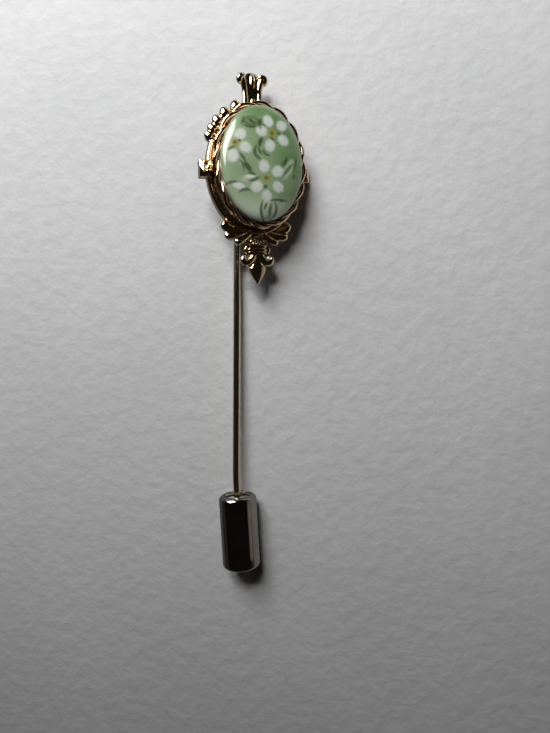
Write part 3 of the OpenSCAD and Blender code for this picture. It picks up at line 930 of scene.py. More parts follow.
@dataclass(frozen=True)
class Porcelain:
    """Tinted porcelain with a painted spray under a clear glaze, with painted shade on its right side and painted
    light at its lower end.
    """

    name: str = "painted_porcelain"
    ground_light: Colour = rgba(0.345, 0.445, 0.285)
    ground_deep_and_shade: Colour = rgba(0.14, 0.25, 0.10)
    painted_light_pale: Colour = rgba(0.72, 0.82, 0.64)
    body: Colour = rgba(0.58, 0.60, 0.55)
    deep_share: float = 0.64  # how deep the ground's tint is at the middle
    tint_and_shade_slopes: tuple = (0.085, 0.03)  # what a millimetre across and a millimetre along add, partly painted shade on the right side
    painted_light_span: tuple = (-4.0, -7.6, 0.0, 0.85)  # painted light: paler towards the lower end
    plate: dict = field(default_factory=lambda: {  # colour, cover and softness of each paint
        Paint.SHADE: (rgba(0.20, 0.27, 0.15), 0.35, 0.6),
        Paint.PALE_LEAF: (rgba(0.44, 0.54, 0.40), 0.9, 0.3),
        Paint.LEAF: (rgba(0.085, 0.13, 0.035), 0.85, 0.35),
        Paint.PETAL: (rgba(0.68, 0.72, 0.67), 0.95, 0.34),
        Paint.HALO: (rgba(0.27, 0.32, 0.07), 0.75, 0.6),
        Paint.STROKE: (rgba(0.05, 0.085, 0.03), 0.9, 0.55),
        Paint.EYE: (rgba(0.25, 0.085, 0.02), 0.92, 0.4),
    })
    waver: float = 0.22  # how far an edge strays, as a share of the dab's half size
    streak: float = 0.75  # cover between the bristles, as a share of the full cover
    painted_from: float = 4.2  # bare body under this height
    painted_fade: float = 0.35
    spray_shift: tuple = (-0.37, -0.53)  # from the stone's middle to the spray's
    bump: float = 0.12
    depth: float = 0.01
    smooth: float = 0.16
    rough: float = 0.26
    glaze: float = 0.15  # roughness of the clear coat

    def layer(self, t: Tree, effects: Effects, place: object, waver: object, dabs: Sequence[Dab]) -> object:
        """Lays the dabs of one colour.

        Args:
            t: the material's tree.
            effects: the shared groups.
            place: the place on the stone.
            waver: how much the edges waver.
            dabs: the dabs of the colour.

        Returns:
            The mask of them all.
        """
        whole: object = 0.0
        for dab in dabs:
            inputs = {"Place": place, "Waver": waver, "Turn": radians(-dab.turn), "Soft": self.plate[dab.paint][2],
                      "Middle": (dab.u + self.spray_shift[0], dab.v + self.spray_shift[1], 0),
                      "Share": (2 / dab.length, 2 / dab.width, 0), "Bow": dab.bow * (2 / dab.length) ** 2}
            whole = t.math("MAXIMUM", t.node("Group", inputs, node_tree=effects.dab).outputs[0], whole)
        return whole

    def material(self, effects: Effects) -> Material:
        """Builds the material.

        Args:
            effects: the shared groups.

        Returns:
            The material.
        """
        made, t, shader = start_material(self.name)
        place = piece_place(t, LIE.on_head())
        wash = t.noise(place, 0.22, 3.0)
        brush = t.noise(place, 2.2, 4.0, 0.6)
        waver = t.span(brush, 0.2, 0.8, -self.waver, self.waver, smooth=False)
        where = t.node("SeparateXYZ", {0: place}).outputs
        # the tint deepens to the right and towards the top; the deepening to the right is partly painted shade
        tint_and_shade_slant = t.math("ADD", t.math("MULTIPLY", where[0], self.tint_and_shade_slopes[0]),
                       t.math("MULTIPLY", where[1], self.tint_and_shade_slopes[1]))
        deep = t.math("ADD", t.math("ADD", tint_and_shade_slant, self.deep_share), t.span(wash, 0.3, 0.7, -0.2, 0.2), clamp=True)
        ground = t.blend(deep, self.ground_light, self.ground_deep_and_shade)
        # painted light: paler towards the lower end
        colour = t.blend(t.span(where[1], *self.painted_light_span), ground, self.painted_light_pale)
        dabs = spray()
        for paint in Paint:
            mask = self.layer(t, effects, place, waver, [d for d in dabs if d.paint is paint])
            tint, cover, _ = self.plate[paint]
            streak = t.span(brush, 0.25, 0.75, cover * self.streak, cover)
            colour = t.blend(t.math("MULTIPLY", mask, streak), colour, tint)
        face = t.span(where[2], self.painted_from, self.painted_from + self.painted_fade)
        speck = t.noise(place, 6.0, 2.0)
        t.feed(shader, {"Base Color": t.blend(face, self.body, colour),
                        "Roughness": t.span(speck, 0.3, 0.7, self.smooth, self.rough),
                        "Normal": t.bump(self.bump, self.depth, wash),
                        "Coat Weight": 1.0, "Coat Roughness": self.glaze})
        return made


# ---------------------------------------------------------------- the head


@dataclass
class FrameRing:
    """The oval frame: raised edge, hollow channel and the bezel wall round the stone."""

    sides: int = 160
    edge: list = field(default_factory=lambda: [  # rows of distance from the stone and height
        (1.3, 0.12), (1.3, 0.72), (1.275, 0.86), (1.22, 0.99), (1.13, 1.11), (1.02, 1.2), (0.92, 1.24),
        (0.83, 1.22), (0.75, 1.13), (0.69, 1.0), (0.62, 0.91), (0.55, 0.9), (0.49, 0.97), (0.45, 1.1), (0.45, 3.55),
        (0.4, 3.6), (0.1, 3.6), (0.05, 3.55), (0.05, 1.25),
    ])

    def build(self) -> Object:
        """Builds the ring from an oval plate by extruding and insetting its top.

        Returns:
            The ring with its floor.
        """
        half = (OVAL.half_w + OVAL.margin, OVAL.half_l + OVAL.margin)
        chamfer = self.edge[0][1]
        obj = Bench.disc("frame_ring", self.sides, 1.0, half=(half[0] - chamfer, half[1] - chamfer))
        grow = (half[0] / (half[0] - chamfer), half[1] / (half[1] - chamfer), 1)
        bpy.ops.mesh.extrude_region_move(TRANSFORM_OT_translate={"value": (0, 0, chamfer)})
        bpy.ops.transform.resize(value=grow, center_override=(0, 0, chamfer))
        out, height = self.edge[0]
        for next_out, next_height in self.edge[1:]:
            inwards, rise = out - next_out, next_height - height
            if inwards > Bench.SAME_PLACE:
                bpy.ops.mesh.inset(thickness=inwards, depth=rise, use_even_offset=True)
            else:
                Bench.push((0, 0, rise))
            out, height = next_out, next_height
        return Bench.closed(obj)


@dataclass
class RopeBorder:
    """Two strands twisted round each other on top of the bezel wall."""

    out: float = 0.34
    height: float = 3.7
    strand_r: float = 0.31
    throw: float = 0.3
    turns: int = 8
    steps: int = 28
    sides: int = 14
    seam: float = 0.03  # how close the rope's two ends come

    def strand(self, side: int) -> None:
        """Adds the first ring of one strand, on one side of the rope's middle line."""
        bpy.ops.mesh.primitive_circle_add(vertices=self.sides, radius=self.strand_r, fill_type="NOTHING",
                                          location=(0, side * self.throw, 0), rotation=(0, pi / 2, 0))

    def path(self) -> Object:
        """Draws the oval that the rope is bent along.

        Returns:
            The curve.
        """
        Bench.clear()
        bpy.ops.curve.primitive_bezier_circle_add(radius=1.0)
        path = bpy.context.object
        path.scale = (OVAL.half_w + self.out, OVAL.half_l + self.out, 1)
        bpy.ops.object.transform_apply(scale=True)
        path.data.resolution_u = 64
        path.data.dimensions = "3D"
        path.data.twist_mode = "Z_UP"
        path.data.use_stretch = True
        path.data.use_deform_bounds = True
        for point in path.data.splines[0].bezier_points:
            point.radius = 1.0
        return path

    def build(self) -> Object:
        """Twists a straight pair of strands, then bends it round the stone.

        Returns:
            The closed rope.
        """
        length = 2 * pi * sqrt(((OVAL.half_w + self.out) ** 2 + (OVAL.half_l + self.out) ** 2) / 2)
        count = self.turns * self.steps
        stride, twist = length / count, 2 * pi / self.steps
        Bench.clear()
        self.strand(1)
        obj = bpy.context.object
        obj.name = "rope_border"
        Bench.settle()
        bpy.ops.object.mode_set(mode="EDIT")
        self.strand(-1)
        bpy.ops.mesh.select_all(action="SELECT")
        for _ in range(count):
            bpy.ops.mesh.extrude_edges_move(TRANSFORM_OT_translate={"value": (stride, 0, 0)})
            bpy.ops.transform.rotate(value=-twist, orient_axis="X", center_override=(0, 0, 0))
        bpy.ops.object.mode_set(mode="OBJECT")
        path = self.path()
        Bench.modify(obj, "CURVE", object=path, deform_axis="POS_X")
        bpy.data.objects.remove(path)
        Bench.opened(obj)
        bpy.ops.transform.translate(value=(0, 0, self.height))
        return Bench.closed(obj, self.seam)


@dataclass
class ShoulderLobes:
    """Graduated lobes that run from the finial down each shoulder."""

    largest: float = 0.95
    taper: float = 0.86
    fullness: tuple = (0.94, 1.06, 1.22, 1.36, 1.5)  # of each lobe, from the top down
    start: float = 18.5
    height: float = 0.6
    grain: float = 0.06

    def build(self) -> Object:
        """Models one lobe, copies it down the shoulder and mirrors the row.

        Returns:
            Both rows.
        """
        lobe = Bench.limb("lobe", [(-1.5, 0.1, 0.62), (-0.8, 0.08, 0.86), (-0.1, 0.0, 1.0), (0.3, -0.08, 0.86)], 0.0,
                          sides=10)
        row = []
        angle, size = 90 + self.start, self.largest
        for fuller in self.fullness:
            at = OVAL.point(angle, OVAL.margin + size / 4, self.height)
            turn = Matrix.Rotation(radians(angle), 4, "Z")
            row.append(Bench.copy(lobe, Matrix.Translation(at) @ turn @ Matrix.Scale(size * fuller, 4)))
            smaller = size * self.taper
            angle += (size + smaller) / OVAL.speed(angle, OVAL.margin)
            size = smaller
        bpy.data.objects.remove(lobe)
        whole = Bench.mirrored(Bench.join("shoulder_lobes", row))
        return Bench.cast(whole, self.grain, 1)


@dataclass
class Finial:
    """Flutes that flare into two volutes over the top of the frame."""

    half: float = 2.325
    tall: float = 4.4
    foot: float = 9.15
    flute_r: float = 0.43
    volute_r: float = 0.58
    height: float = 0.66
    grain: float = 0.055

    def shares(self, rows: Sequence[Station]) -> list[Station]:
        """Turns shares of the finial's half width, height and flute into millimetres."""
        return [(u * self.half, self.foot + v * self.tall, r * self.flute_r) for u, v, r in rows]

    def build(self) -> Object:
        """Draws the flutes and volutes and melts them together.

        Returns:
            The finial.
        """
        middle = Bench.limb("flute", self.shares([(0, -0.1, 1.0), (0, 0.24, 0.84), (0, 0.42, 0.6), (0, 0.55, 0.86),
                                                  (0, 0.74, 1.05), (0, 0.92, 0.86)]),
                            self.height, rise=(0.1, 0.02, -0.12, 0.05, 0.16, 0.02))
        side = Bench.limb("flute", self.shares([(0.44, -0.1, 1.1), (0.45, 0.24, 1.0), (0.455, 0.42, 0.86),
                                                (0.47, 0.56, 1.0), (0.54, 0.72, 1.1), (0.66, 0.86, 1.1)]),
                          self.height, rise=(0.05, 0, -0.06, 0.05, 0.15, 0.15))
        r = self.volute_r
        out, up = self.half - r, self.foot + 0.81 * self.tall
        curl = Bench.limb("volute", [(out - 0.45, up + 0.44, r * 0.8), (out, up + 0.34, r * 0.98),
                                     (out + 0.14, up + 0.0, r * 1.0), (out, up - 0.28, r * 0.9),
                                     (out - 0.25, up - 0.3, r * 0.7)], self.height + 0.12,
                          rise=(0.1, 0.15, 0.1, 0.05, 0))
        right = Bench.mirrored(Bench.join("finial", [side, curl]))
        web = Bench.limb("web", self.shares([(0, -0.1, 2.9), (0, 0.3, 2.9), (0, 0.6, 3.1), (0, 0.78, 3.4)]), 0.36,
                         sides=12, flat=0.44)
        return Bench.cast(Bench.join("finial", [right, middle, web]), self.grain, 1)


@dataclass
class SideStuds:
    """A bevelled stud with a dished top on each side, and the claw that runs from it to the rope."""

    out: float = 2.3
    long: float = 2.3
    tall: float = 1.95
    bevel: float = 0.5
    lift: float = 0.15
    drop: float = 0.2
    rim: float = 0.12
    under: float = 0.1
    edge_r: float = 0.07
    grain: float = 0.06

    def build(self) -> Object:
        """Works one stud out of a block, adds its claw and mirrors them.

        Returns:
            Both studs.
        """
        end, foot = OVAL.half_w + self.out, OVAL.half_w + OVAL.margin / 2
        low, shoulder = self.lift, self.tall - self.bevel
        Bench.clear()
        bpy.ops.mesh.primitive_cube_add(size=1, location=((end + foot) / 2, -self.drop, (low + shoulder) / 2),
                                        scale=(end - foot, self.long, shoulder - low))
        block = bpy.context.object
        Bench.settle()
        bpy.ops.object.mode_set(mode="EDIT")
        Bench.pick(block, lambda face: face.normal.z > 0.9)
        for thickness, depth in ((self.bevel, self.bevel), (self.rim, 0.0), (self.rim, -self.rim)):
            bpy.ops.mesh.inset(thickness=thickness, depth=depth)
        Bench.pick(block, lambda face: face.normal.z < -0.9)
        bpy.ops.mesh.inset(thickness=self.rim, depth=self.under)
        Bench.closed(block)
        Bench.modify(block, "BEVEL", width=self.edge_r, segments=3, limit_method="ANGLE", angle_limit=radians(25))
        inner = OVAL.half_w + 0.55
        v = -self.drop
        claw = Bench.limb("claw", [(foot + 0.9, v, 0.34), (foot + 0.35, v, 0.5), (inner + 0.28, v, 0.52),
                                   (inner, v, 0.42)], 1.3, sides=10, rise=(0.1, 0.35, 1.4, 2.2))
        bead = Bench.limb("bead", [(foot + 0.18, v - 0.34, 0.24), (foot + 0.2, v + 0.34, 0.24)], 1.42, sides=10)
        claw = Bench.join("claw", [claw, bead])
        Bench.melt(claw, self.grain, 2)
        return Bench.mirrored(Bench.join("side_studs", [block, claw]))


@dataclass
class DropOrnament:
    """Acanthus scrolls, a fan of flutes, a ribbed knot and the fleur-de-lis under the frame."""

    foot: float = 9.15
    leaf_half: float = 5.5
    leaf_h: float = 3.4
    leaf_rise: float = 0.57
    drop_l: float = 7.0
    knot_w: float = 3.8
    fleur_half: float = 2.6
    height: float = 0.66
    fan_count: int = 7
    fan_spread: float = 54.0
    grain: float = 0.06
    lance_r: float = 0.3
    lance_flat: float = 0.62
    lance_low: float = 0.15

    def down(self, share: float) -> float:
        """Returns the v that lies a share of the drop's length under the frame."""
        return -self.foot - share * self.drop_l

    def leaves(self) -> list[Object]:
        """Draws the three curled lobes of the right side's acanthus.

        Returns:
            The lobes.
        """
        top = -self.foot + self.leaf_rise * self.leaf_h
        tables = {
            "leaf_top": [(0.5, 0.42, 0.12), (0.68, 0.37, 0.15), (0.83, 0.3, 0.18), (0.89, 0.17, 0.185),
                         (0.86, 0.08, 0.15), (0.8, 0.1, 0.1)],
            "leaf_mid": [(0.36, 0.5, 0.12), (0.55, 0.58, 0.15), (0.71, 0.65, 0.17), (0.8, 0.62, 0.165),
                         (0.81, 0.53, 0.11)],
            "leaf_low": [(0.2, 0.56, 0.12), (0.33, 0.7, 0.14), (0.45, 0.85, 0.16), (0.53, 0.87, 0.15),
                         (0.56, 0.78, 0.1)],
        }
        made = []
        for name, rows in tables.items():
            stations = [(u * self.leaf_half, top - v * self.leaf_h, r * self.leaf_h) for u, v, r in rows]
            made.append(Bench.limb(name, stations, self.height, rise=(0.0, 0.05, 0.1, 0.2, 0.15)))
        return made

    def fan(self) -> list[Object]:
        """Draws one flute of the fan and copies it over the spread.

        Returns:
            The flutes.
        """
        reach = 0.46 * self.leaf_h
        flute = Bench.limb("fan_flute", [(0.15 * reach, 0, 0.15), (0.6 * reach, 0, 0.2), (reach, 0, 0.25)],
                           self.height + 0.12)
        middle = (0, -self.foot + 0.1 * self.leaf_h, 0)
        made = []
        for i in range(self.fan_count):
            angle = -90 + self.fan_spread * (2 * i / (self.fan_count - 1) - 1)
            made.append(Bench.copy(flute, Matrix.Translation(middle) @ Matrix.Rotation(radians(angle), 4, "Z")))
        bpy.data.objects.remove(flute)
        return made

    def knot(self) -> tuple[list[Object], list[Object]]:
        """Draws the knot.

        Returns:
            Its ribs, which lie across the middle, and the loop of the right side.
        """
        mid = self.down(0.295)
        rib = 0.08 * self.knot_w
        ribs = [Bench.limb("rib", [(-0.3 * self.knot_w, mid + i * 1.6 * rib, rib * 0.9),
                                   (0, mid + i * 1.7 * rib, rib * 1.1),
                                   (0.3 * self.knot_w, mid + i * 1.6 * rib, rib * 0.9)],
                           self.height + 0.25, rise=(0, 0.12, 0)) for i in (-1, 0, 1)]
        loop_r = 0.15 * self.knot_w
        ring = [(0.3 * self.knot_w + loop_r * cos(radians(a)), mid + loop_r * sin(radians(a)), 0.075 * self.knot_w)
                for a in range(-110, 111, 22)]
        return ribs, [Bench.limb("loop", ring, self.height + 0.1)]

    def petals(self) -> list[Object]:
        """Draws the curled petal on the right of the fleur-de-lis and the eye of its curl.

        Returns:
            The petal and the eye.
        """
        rows = [(0.14, 0.36, 0.06), (0.3, 0.49, 0.072), (0.52, 0.57, 0.082), (0.74, 0.565, 0.085),
                (0.84, 0.5, 0.08), (0.79, 0.44, 0.07), (0.68, 0.46, 0.06)]
        stations = [(u * self.fleur_half, self.down(v), r * self.drop_l) for u, v, r in rows]
        eye = [(u * self.fleur_half, self.down(0.505), 0.05 * self.drop_l) for u in (0.68, 0.72)]
        return [Bench.limb("petal", stations, self.height, rise=(0.1, 0.1, 0.1, 0.1, 0.1, 0.05, 0)),
                Bench.limb("petal_eye", eye, self.height + 0.1)]

    def lance(self) -> Object:
        """Draws the lance out of a round section and flattens it.

        Returns:
            The lance.
        """
        at, wide = self.down(0.34), self.lance_r
        obj = Bench.disc("lance", 16, wide, (0, at, self.height), (pi / 2, 0, 0))
        for share, width in ((0.42, 0.44), (0.5, 0.74), (0.56, 0.98), (0.62, 1.18), (0.67, 1.28), (0.72, 1.27),
                             (0.77, 1.14), (0.83, 0.88), (0.9, 0.54), (0.96, 0.24), (1.015, 0.03)):
            to = self.down(share)
            Bench.push((0, to - at, 0), width / wide, (0, to, self.height))
            at, wide = to, width
        Bench.closed(obj)
        Bench.squash(obj, self.lance_flat, self.height - self.lance_low)
        return obj

    def web(self) -> Object:
        """Cuts the plates behind the scrolls and behind the knot.

        Returns:
            The plates.
        """
        behind_leaves = -self.foot + self.leaf_rise * self.leaf_h - 0.55 * self.leaf_h
        plates = []
        for name, sides, half_w, half_l, v, tall in (
                ("web", 28, 0.7 * self.leaf_half, 0.32 * self.leaf_h, behind_leaves, 0.85),
                ("neck", 20, 0.34 * self.knot_w, 0.17 * self.drop_l, self.down(0.25), 0.9)):
            plate = Bench.disc(name, sides, 1.0, (0, v, 0))
            bpy.ops.transform.resize(value=(half_w, half_l, 1), center_override=(0, v, 0))
            Bench.push((0, 0, self.height * tall))
            plates.append(Bench.closed(plate))
        return Bench.join("web", plates)

    def build(self) -> Object:
        """Builds the whole drop.

        Returns:
            The drop as one cast piece.
        """
        ribs, loops = self.knot()
        sides = Bench.mirrored(Bench.join("drop_sides", self.leaves() + loops + self.petals()))
        whole = Bench.join("drop_ornament", [sides, self.web(), self.lance()] + ribs + self.fan())
        return Bench.cast(whole, self.grain, 1)


@dataclass
class BackSocket:
    """The boss on the back that holds the wire's post."""

    bore: float = 0.605
    wall: float = 0.7
    tall: float = 1.3
    depth: float = 0.84

    def build(self) -> Object:
        """Turns the boss with its bore and a fillet at its foot.

        Returns:
            The boss.
        """
        r = self.bore + self.wall
        mouth, roof = -self.tall, self.depth + 0.2
        profile = [(0.02, self.depth), (self.bore, self.depth), (self.bore, mouth + 0.12), (self.bore + 0.1, mouth),
                   (r - 0.12, mouth), (r, mouth + 0.12), (r, -0.5), (r + 0.08, -0.25), (r + 0.22, -0.08),
                   (r + 0.43, 0.0), (r + 0.43, roof), (0.02, roof)]
        obj = Bench.turned("back_socket", 40, profile)
        Bench.hold(obj)
        obj.location = (-LIE.post[0], -LIE.post[1], 0)
        Bench.settle()
        return obj


@dataclass
class Head:
    """The gilt casting: its forms and their common finish."""

    ring: FrameRing = field(default_factory=FrameRing)
    rope: RopeBorder = field(default_factory=RopeBorder)
    lobes: ShoulderLobes = field(default_factory=ShoulderLobes)
    finial: Finial = field(default_factory=Finial)
    studs: SideStuds = field(default_factory=SideStuds)
    drop: DropOrnament = field(default_factory=DropOrnament)
    socket: BackSocket = field(default_factory=BackSocket)

    def build(self, finish: Material) -> None:
        """Builds every form of the casting and dresses it.

        Args:
            finish: the gilt.
        """
        smooth, crisp = 60.0, 32.0
        for part, crease in ((self.ring, 50.0), (self.rope, smooth), (self.lobes, smooth), (self.finial, smooth),
                             (self.studs, crisp), (self.drop, smooth), (self.socket, 40.0)):
            Bench.place(part.build(), LIE.on_head(), finish, Body.PIN, "gilt_casting", "setting", crease)


@dataclass
class Stone:
    """The oval cabochon: upright side and a full dome."""

    foot_w: float = 1.25
    side_h: float = 3.2
    dome_h: float = 1.8
    foot: float = 0.2
    fullness: float = 2.7  # of the dome's section; 2 is an ellipse
    sides: int = 128
    dome_rings: int = 36
    tip: float = 0.02

    def build(self) -> Object:
        """Raises the stone ring by ring from its foot.

        Returns:
            The stone.
        """
        rows = [(1 - self.foot / OVAL.half_w, self.foot_w), (1.0, self.foot_w + self.foot)]
        side_w = self.foot_w + self.side_h
        for i in range(self.dome_rings):
            a = pi / 2 * i / self.dome_rings
            rows.append((cos(a) ** (2 / self.fullness), side_w + self.dome_h * sin(a)))
        rows.append((rows[-1][0] * self.tip, side_w + self.dome_h))
        share, at = rows[0]
        obj = Bench.disc("porcelain_stone", self.sides, 1.0, (0, 0, at),
                         half=(OVAL.half_w * share, OVAL.half_l * share))
        Bench.raised(rows)
        return Bench.closed(obj)

    def dress(self, finish: Material) -> None:
        """Builds the stone and dresses it."""
        Bench.place(self.build(), LIE.on_head(), finish, Body.PIN, "porcelain", "cabochon", 50.0)


# ---------------------------------------------------------------- wire and clutch


@dataclass
class Wire:
    """The pin's wire: post, bend, long stem, slight bend, tip and point."""

    radius: float = 0.575
    corner_r: float = 1.3
    post_top: float = 4.16
    tip_l: float = 8.4
    point_l: float = 2.2
    sides: int = 32
    edge_l: float = 0.06
    edge_size: float = 0.88
    point: tuple = ((0.25, 0.94), (0.5, 0.72), (0.8, 0.36), (1.0, 0.12))  # shares of point_l and of the radius

    def build(self) -> Object:
        """Draws the wire from the post to the point with extrudes and two spins.

        Returns:
            The wire.
        """
        rolled = LIE.rolled()
        top, down = rolled @ Vector((0, 0, self.post_top)), rolled @ Vector((0, 0, -1))
        obj = Bench.disc("wire", self.sides, self.radius * self.edge_size, top, (0, radians(LIE.roll), 0))
        Bench.push(down * self.edge_l, 1 / self.edge_size, top + down * self.edge_l)
        Bench.push(down * (self.post_top - self.edge_l - self.corner_r))
        bpy.ops.mesh.spin(steps=16, angle=-pi / 2, center=tuple(rolled @ Vector((0, -self.corner_r, self.corner_r))),
                          axis=tuple(rolled @ Vector((-1, 0, 0))))
        Bench.push((0, -(LIE.stem_l - self.corner_r), 0))
        bend, bend_r = radians(LIE.tip_bend), LIE.tip_bend_r
        bpy.ops.mesh.spin(steps=6, angle=-bend, center=(bend_r, -LIE.stem_l, 0), axis=(0, 0, 1))
        ahead = Vector((sin(bend), -cos(bend), 0))
        at = Vector((bend_r * (1 - cos(bend)), -LIE.stem_l - bend_r * sin(bend), 0))
        at += ahead * (self.tip_l - self.point_l)
        Bench.push(ahead * (self.tip_l - self.point_l))
        done, before = 0.0, 1.0
        for share, size in self.point:
            step = ahead * self.point_l * (share - done)
            at += step
            Bench.push(step, size / before, at)
            done, before = share, size
        return Bench.closed(obj)

    def dress(self, finish: Material) -> None:
        """Builds the wire and dresses it."""
        Bench.place(self.build(), LIE.on_table(), finish, Body.PIN, "gilt_wire", "pin_stem", 50.0)


def arc(middle: tuple[float, float], radius: float, start: float, end: float, steps: int) -> Profile:
    """Lists the points of a rounded corner.

    Args:
        middle: its middle.
        radius: its radius.
        start: first angle in degrees.
        end: last angle in degrees.
        steps: number of steps.

    Returns:
        Rows of radius and height.
    """
    angles = [radians(start + (end - start) * i / steps) for i in range(steps + 1)]
    return [(middle[0] + radius * cos(a), middle[1] + radius * sin(a)) for a in angles]


@dataclass
class Clutch:
    """The sliding clutch: a rolled shell with a plain bush inside."""

    radius: float = 2.9
    long: float = 11.3
    wall: float = 0.4
    mouth_r: float = 2.1
    end_r: float = 0.65
    grip_l: float = 7.0
    gap: float = 0.05
    bore_r: float = 0.625
    funnel_r: float = 1.65
    funnel_depth: float = 1.1
    edge: float = 0.15
    sides: int = 72

    def shell(self) -> Object:
        """Turns the shell from its closed end to the mouth and back inside.

        Returns:
            The shell.
        """
        shoulder = self.radius - self.mouth_r
        inner, end = self.radius - self.wall, self.long - self.wall
        profile = [(0.05, self.long), (self.radius - self.end_r - 0.1, self.long)]
        profile += arc((self.radius - self.end_r, self.long - self.end_r), self.end_r, 90, 0, 6)
        profile += arc((self.radius - shoulder, shoulder), shoulder, 0, -90, 8)
        profile += [(self.mouth_r - 0.05, 0.05), (self.mouth_r - 0.02, self.wall * 0.7),
                    (self.mouth_r + 0.02, self.wall), (inner, self.wall + shoulder / 2),
                    (inner, end - self.end_r / 2), (inner - self.end_r / 2, end), (0.05, end)]
        return Bench.turned("clutch_shell_turned", self.sides, profile)

    def bush(self) -> Object:
        """Turns the bush with its funnel and its bore.

        Returns:
            The bush.
        """
        front = self.wall + (self.radius - self.mouth_r) / 2 + self.gap
        outer = self.radius - self.wall - self.gap
        back = front + self.grip_l
        funnel, edge = front + self.funnel_depth, self.edge
        (r, z), *rest = [(self.bore_r, funnel), (self.bore_r + 0.12, funnel - 0.3),
                         (self.funnel_r - edge, front + 0.18), (self.funnel_r, front), (outer - edge, front),
                         (outer, front + edge), (outer, back - edge), (outer - edge, back), (self.bore_r + 0.1, back),
                         (self.bore_r, back - 0.1), (self.bore_r, funnel)]
        obj = Bench.disc("clutch_bush_turned", self.sides, r, (0, 0, z))
        bpy.ops.mesh.delete(type="ONLY_FACE")
        bpy.ops.mesh.select_all(action="SELECT")
        for next_r, next_z in rest:
            bpy.ops.mesh.extrude_edges_move(TRANSFORM_OT_translate={"value": (0, 0, next_z - z)})
            if abs(next_r / r - 1) > Bench.SAME_SCALE:
                bpy.ops.transform.resize(value=(next_r / r, next_r / r, 1), center_override=(0, 0, next_z))
            r, z = next_r, next_z
        return Bench.closed(obj)

    def dress(self, metal: Material, plain: Material) -> None:
        """Builds both pieces and dresses them.

        Args:
            metal: the shell's finish.
            plain: the bush's finish.
        """
        Bench.place(self.shell(), LIE.on_tip(), metal, Body.CLUTCH, "clutch_metal", "clutch_shell", 35.0)
        Bench.place(self.bush(), LIE.on_tip(), plain, Body.CLUTCH, "clutch_bush", "clutch_grip", 35.0)


# ---------------------------------------------------------------- the studio


@dataclass(frozen=True)
class Lamp:
    """One soft light: where it stands, what it faces, its size, power and colour."""

    name: str
    at: Point
    towards: Point
    wide: float
    tall: float
    power: float
    colour: Point
    mirrored: bool = True  # seen in polished surfaces
    lights: bool = True  # lights matt surfaces

    def hang(self) -> None:
        """Hangs the lamp, out of the camera's sight."""
        data = bpy.data.lights.new(self.name, "AREA")
        data.shape = "RECTANGLE"
        data.size, data.size_y = self.wide, self.tall
        data.energy = self.power
        data.color = self.colour
        obj = bpy.data.objects.new(self.name, data)
        bpy.context.scene.collection.objects.link(obj)
        obj.location = self.at
        obj.rotation_mode = "QUATERNION"
        obj.rotation_quaternion = (Vector(self.towards) - Vector(self.at)).to_track_quat("-Z", "Y")
        obj.visible_camera = False
        obj.visible_glossy = self.mirrored
        obj.visible_diffuse = self.lights


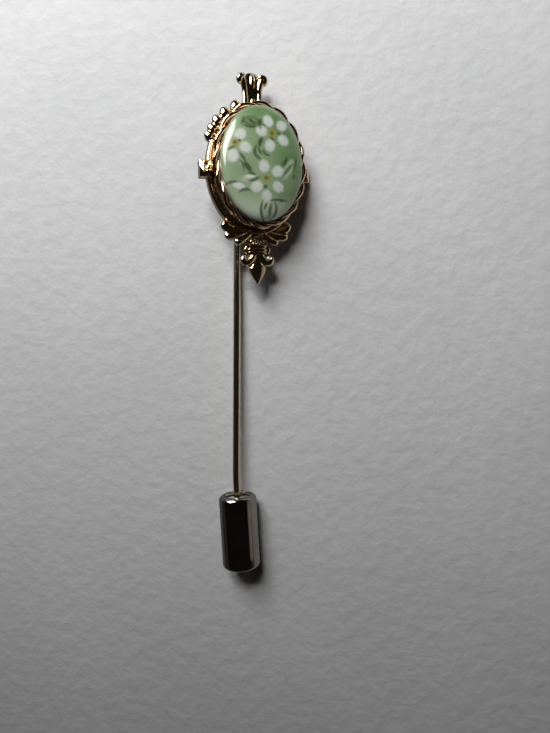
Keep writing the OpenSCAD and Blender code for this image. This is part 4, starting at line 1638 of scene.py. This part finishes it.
@dataclass
class Studio:
    """Pale floor with painted shade, soft lights, a dim room and the camera."""

    tilt: Point = (5.513, -5.6235, -0.7347)  # degrees about x, y and z
    over: tuple = (2.6434, -5.5026)  # the spot on the table that it looks at, in millimetres
    above: float = 85.7969  # millimetres from that spot
    focal_px: float = 551.0
    image: tuple = (550, 733)
    sensor: float = 36.0
    nearest: float = 0.001
    floor_half: float = 0.34
    room_low: Colour = rgba(0.05, 0.047, 0.044)
    room_high: Colour = rgba(0.009, 0.0075, 0.007)
    backdrop_low: Colour = rgba(0.42, 0.42, 0.42)  # seen by the camera alone
    backdrop_high: Colour = rgba(0.30, 0.30, 0.30)
    room_fade: float = 0.3
    lamps: tuple = (
        Lamp("ceiling", (-0.012, 0.16, 0.22), (0.0, 0.02, 0.0), 0.05, 0.04, 0.18, (1.0, 0.985, 0.965),
             mirrored=False),
        Lamp("sky", (-0.06, 0.17, 0.17), (0.0, 0.02, 0.0), 0.10, 0.12, 0.49, (0.985, 0.99, 1.0), mirrored=False),
        Lamp("window", (-0.131, 0.159, 0.123), (0.0, 0.03, 0.0), 0.178, 0.15, 0.74, (1.0, 0.985, 0.96),
             lights=False),
        Lamp("wall", (0.32, -0.02, 0.068), (0.0, -0.02, 0.0), 0.30, 0.125, 0.024, (1.0, 0.84, 0.68)),
    )

    def camera(self) -> None:
        """Stands the camera at the photograph's angle."""
        data = bpy.data.cameras.new("camera")
        data.sensor_width = self.sensor
        data.lens = self.focal_px * self.sensor / max(self.image)
        data.clip_start = self.nearest
        camera = bpy.data.objects.new("camera", data)
        bpy.context.scene.collection.objects.link(camera)
        tx, ty, tz = (radians(a) for a in self.tilt)
        seen = Matrix.Rotation(ty, 3, "Y") @ Matrix.Rotation(tx, 3, "X") @ Matrix.Rotation(tz, 3, "Z")
        back = seen.transposed()
        where = Vector((self.over[0], self.over[1], 0)) + back @ Vector((0, 0, self.above))
        camera.matrix_world = Matrix.Translation(where * MILLIMETRE) @ back.to_4x4()
        bpy.context.scene.camera = camera

    def floor(self) -> None:
        """Lays the pale floor."""
        Bench.clear()
        bpy.ops.mesh.primitive_plane_add(size=2 * self.floor_half)
        obj = bpy.context.object
        obj.name = "floor"
        obj.data.materials.append(Paper().material())

    def room(self) -> None:
        """Dims the room and hangs a grey backdrop that only the camera sees."""
        world = bpy.data.worlds.new("room")
        world.use_nodes = True
        t = Tree(world.node_tree)
        up = t.node("SeparateXYZ", {0: t.node("TexCoord").outputs["Generated"]}).outputs[2]
        share = t.span(up, 0.0, self.room_fade)
        colour = t.blend(share, self.room_low, self.room_high)
        backdrop = t.blend(share, self.backdrop_low, self.backdrop_high)
        seen = t.blend(t.node("LightPath").outputs["Is Camera Ray"], colour, backdrop)
        t.feed(world.node_tree.nodes["Background"], {"Color": seen, "Strength": 1.0})
        bpy.context.scene.world = world
        bpy.context.scene.view_settings.view_transform = "Standard"

    def build(self) -> None:
        """Sets up the camera, the floor, the lamps and the room."""
        self.camera()
        self.floor()
        for lamp in self.lamps:
            lamp.hang()
        self.room()


def main() -> None:
    """Builds the studio, the pin and the clutch in order."""
    logging.basicConfig(level=logging.INFO, format="%(name)s %(message)s")
    Studio().build()
    effects = Effects()
    gilt = Gilt().material(effects)
    drawn = PolishedMetal("gilt_wire", bright=rgba(0.98, 0.87, 0.65), dark=rgba(0.89, 0.73, 0.51), smooth=0.09,
                          rubbed=0.15, stretch=(6.0, 6.0, 0.25)).material(effects)
    steel = PolishedMetal("clutch_metal", bright=rgba(0.40, 0.375, 0.35), dark=rgba(0.29, 0.265, 0.24), smooth=0.04,
                          rubbed=0.09, stretch=(5.0, 5.0, 0.3)).material(effects)
    Head().build(gilt)
    Stone().dress(Porcelain().material(effects))
    Wire().dress(drawn)
    Clutch().dress(steel, Bush().material(effects))


if __name__ == "__main__":
    main()
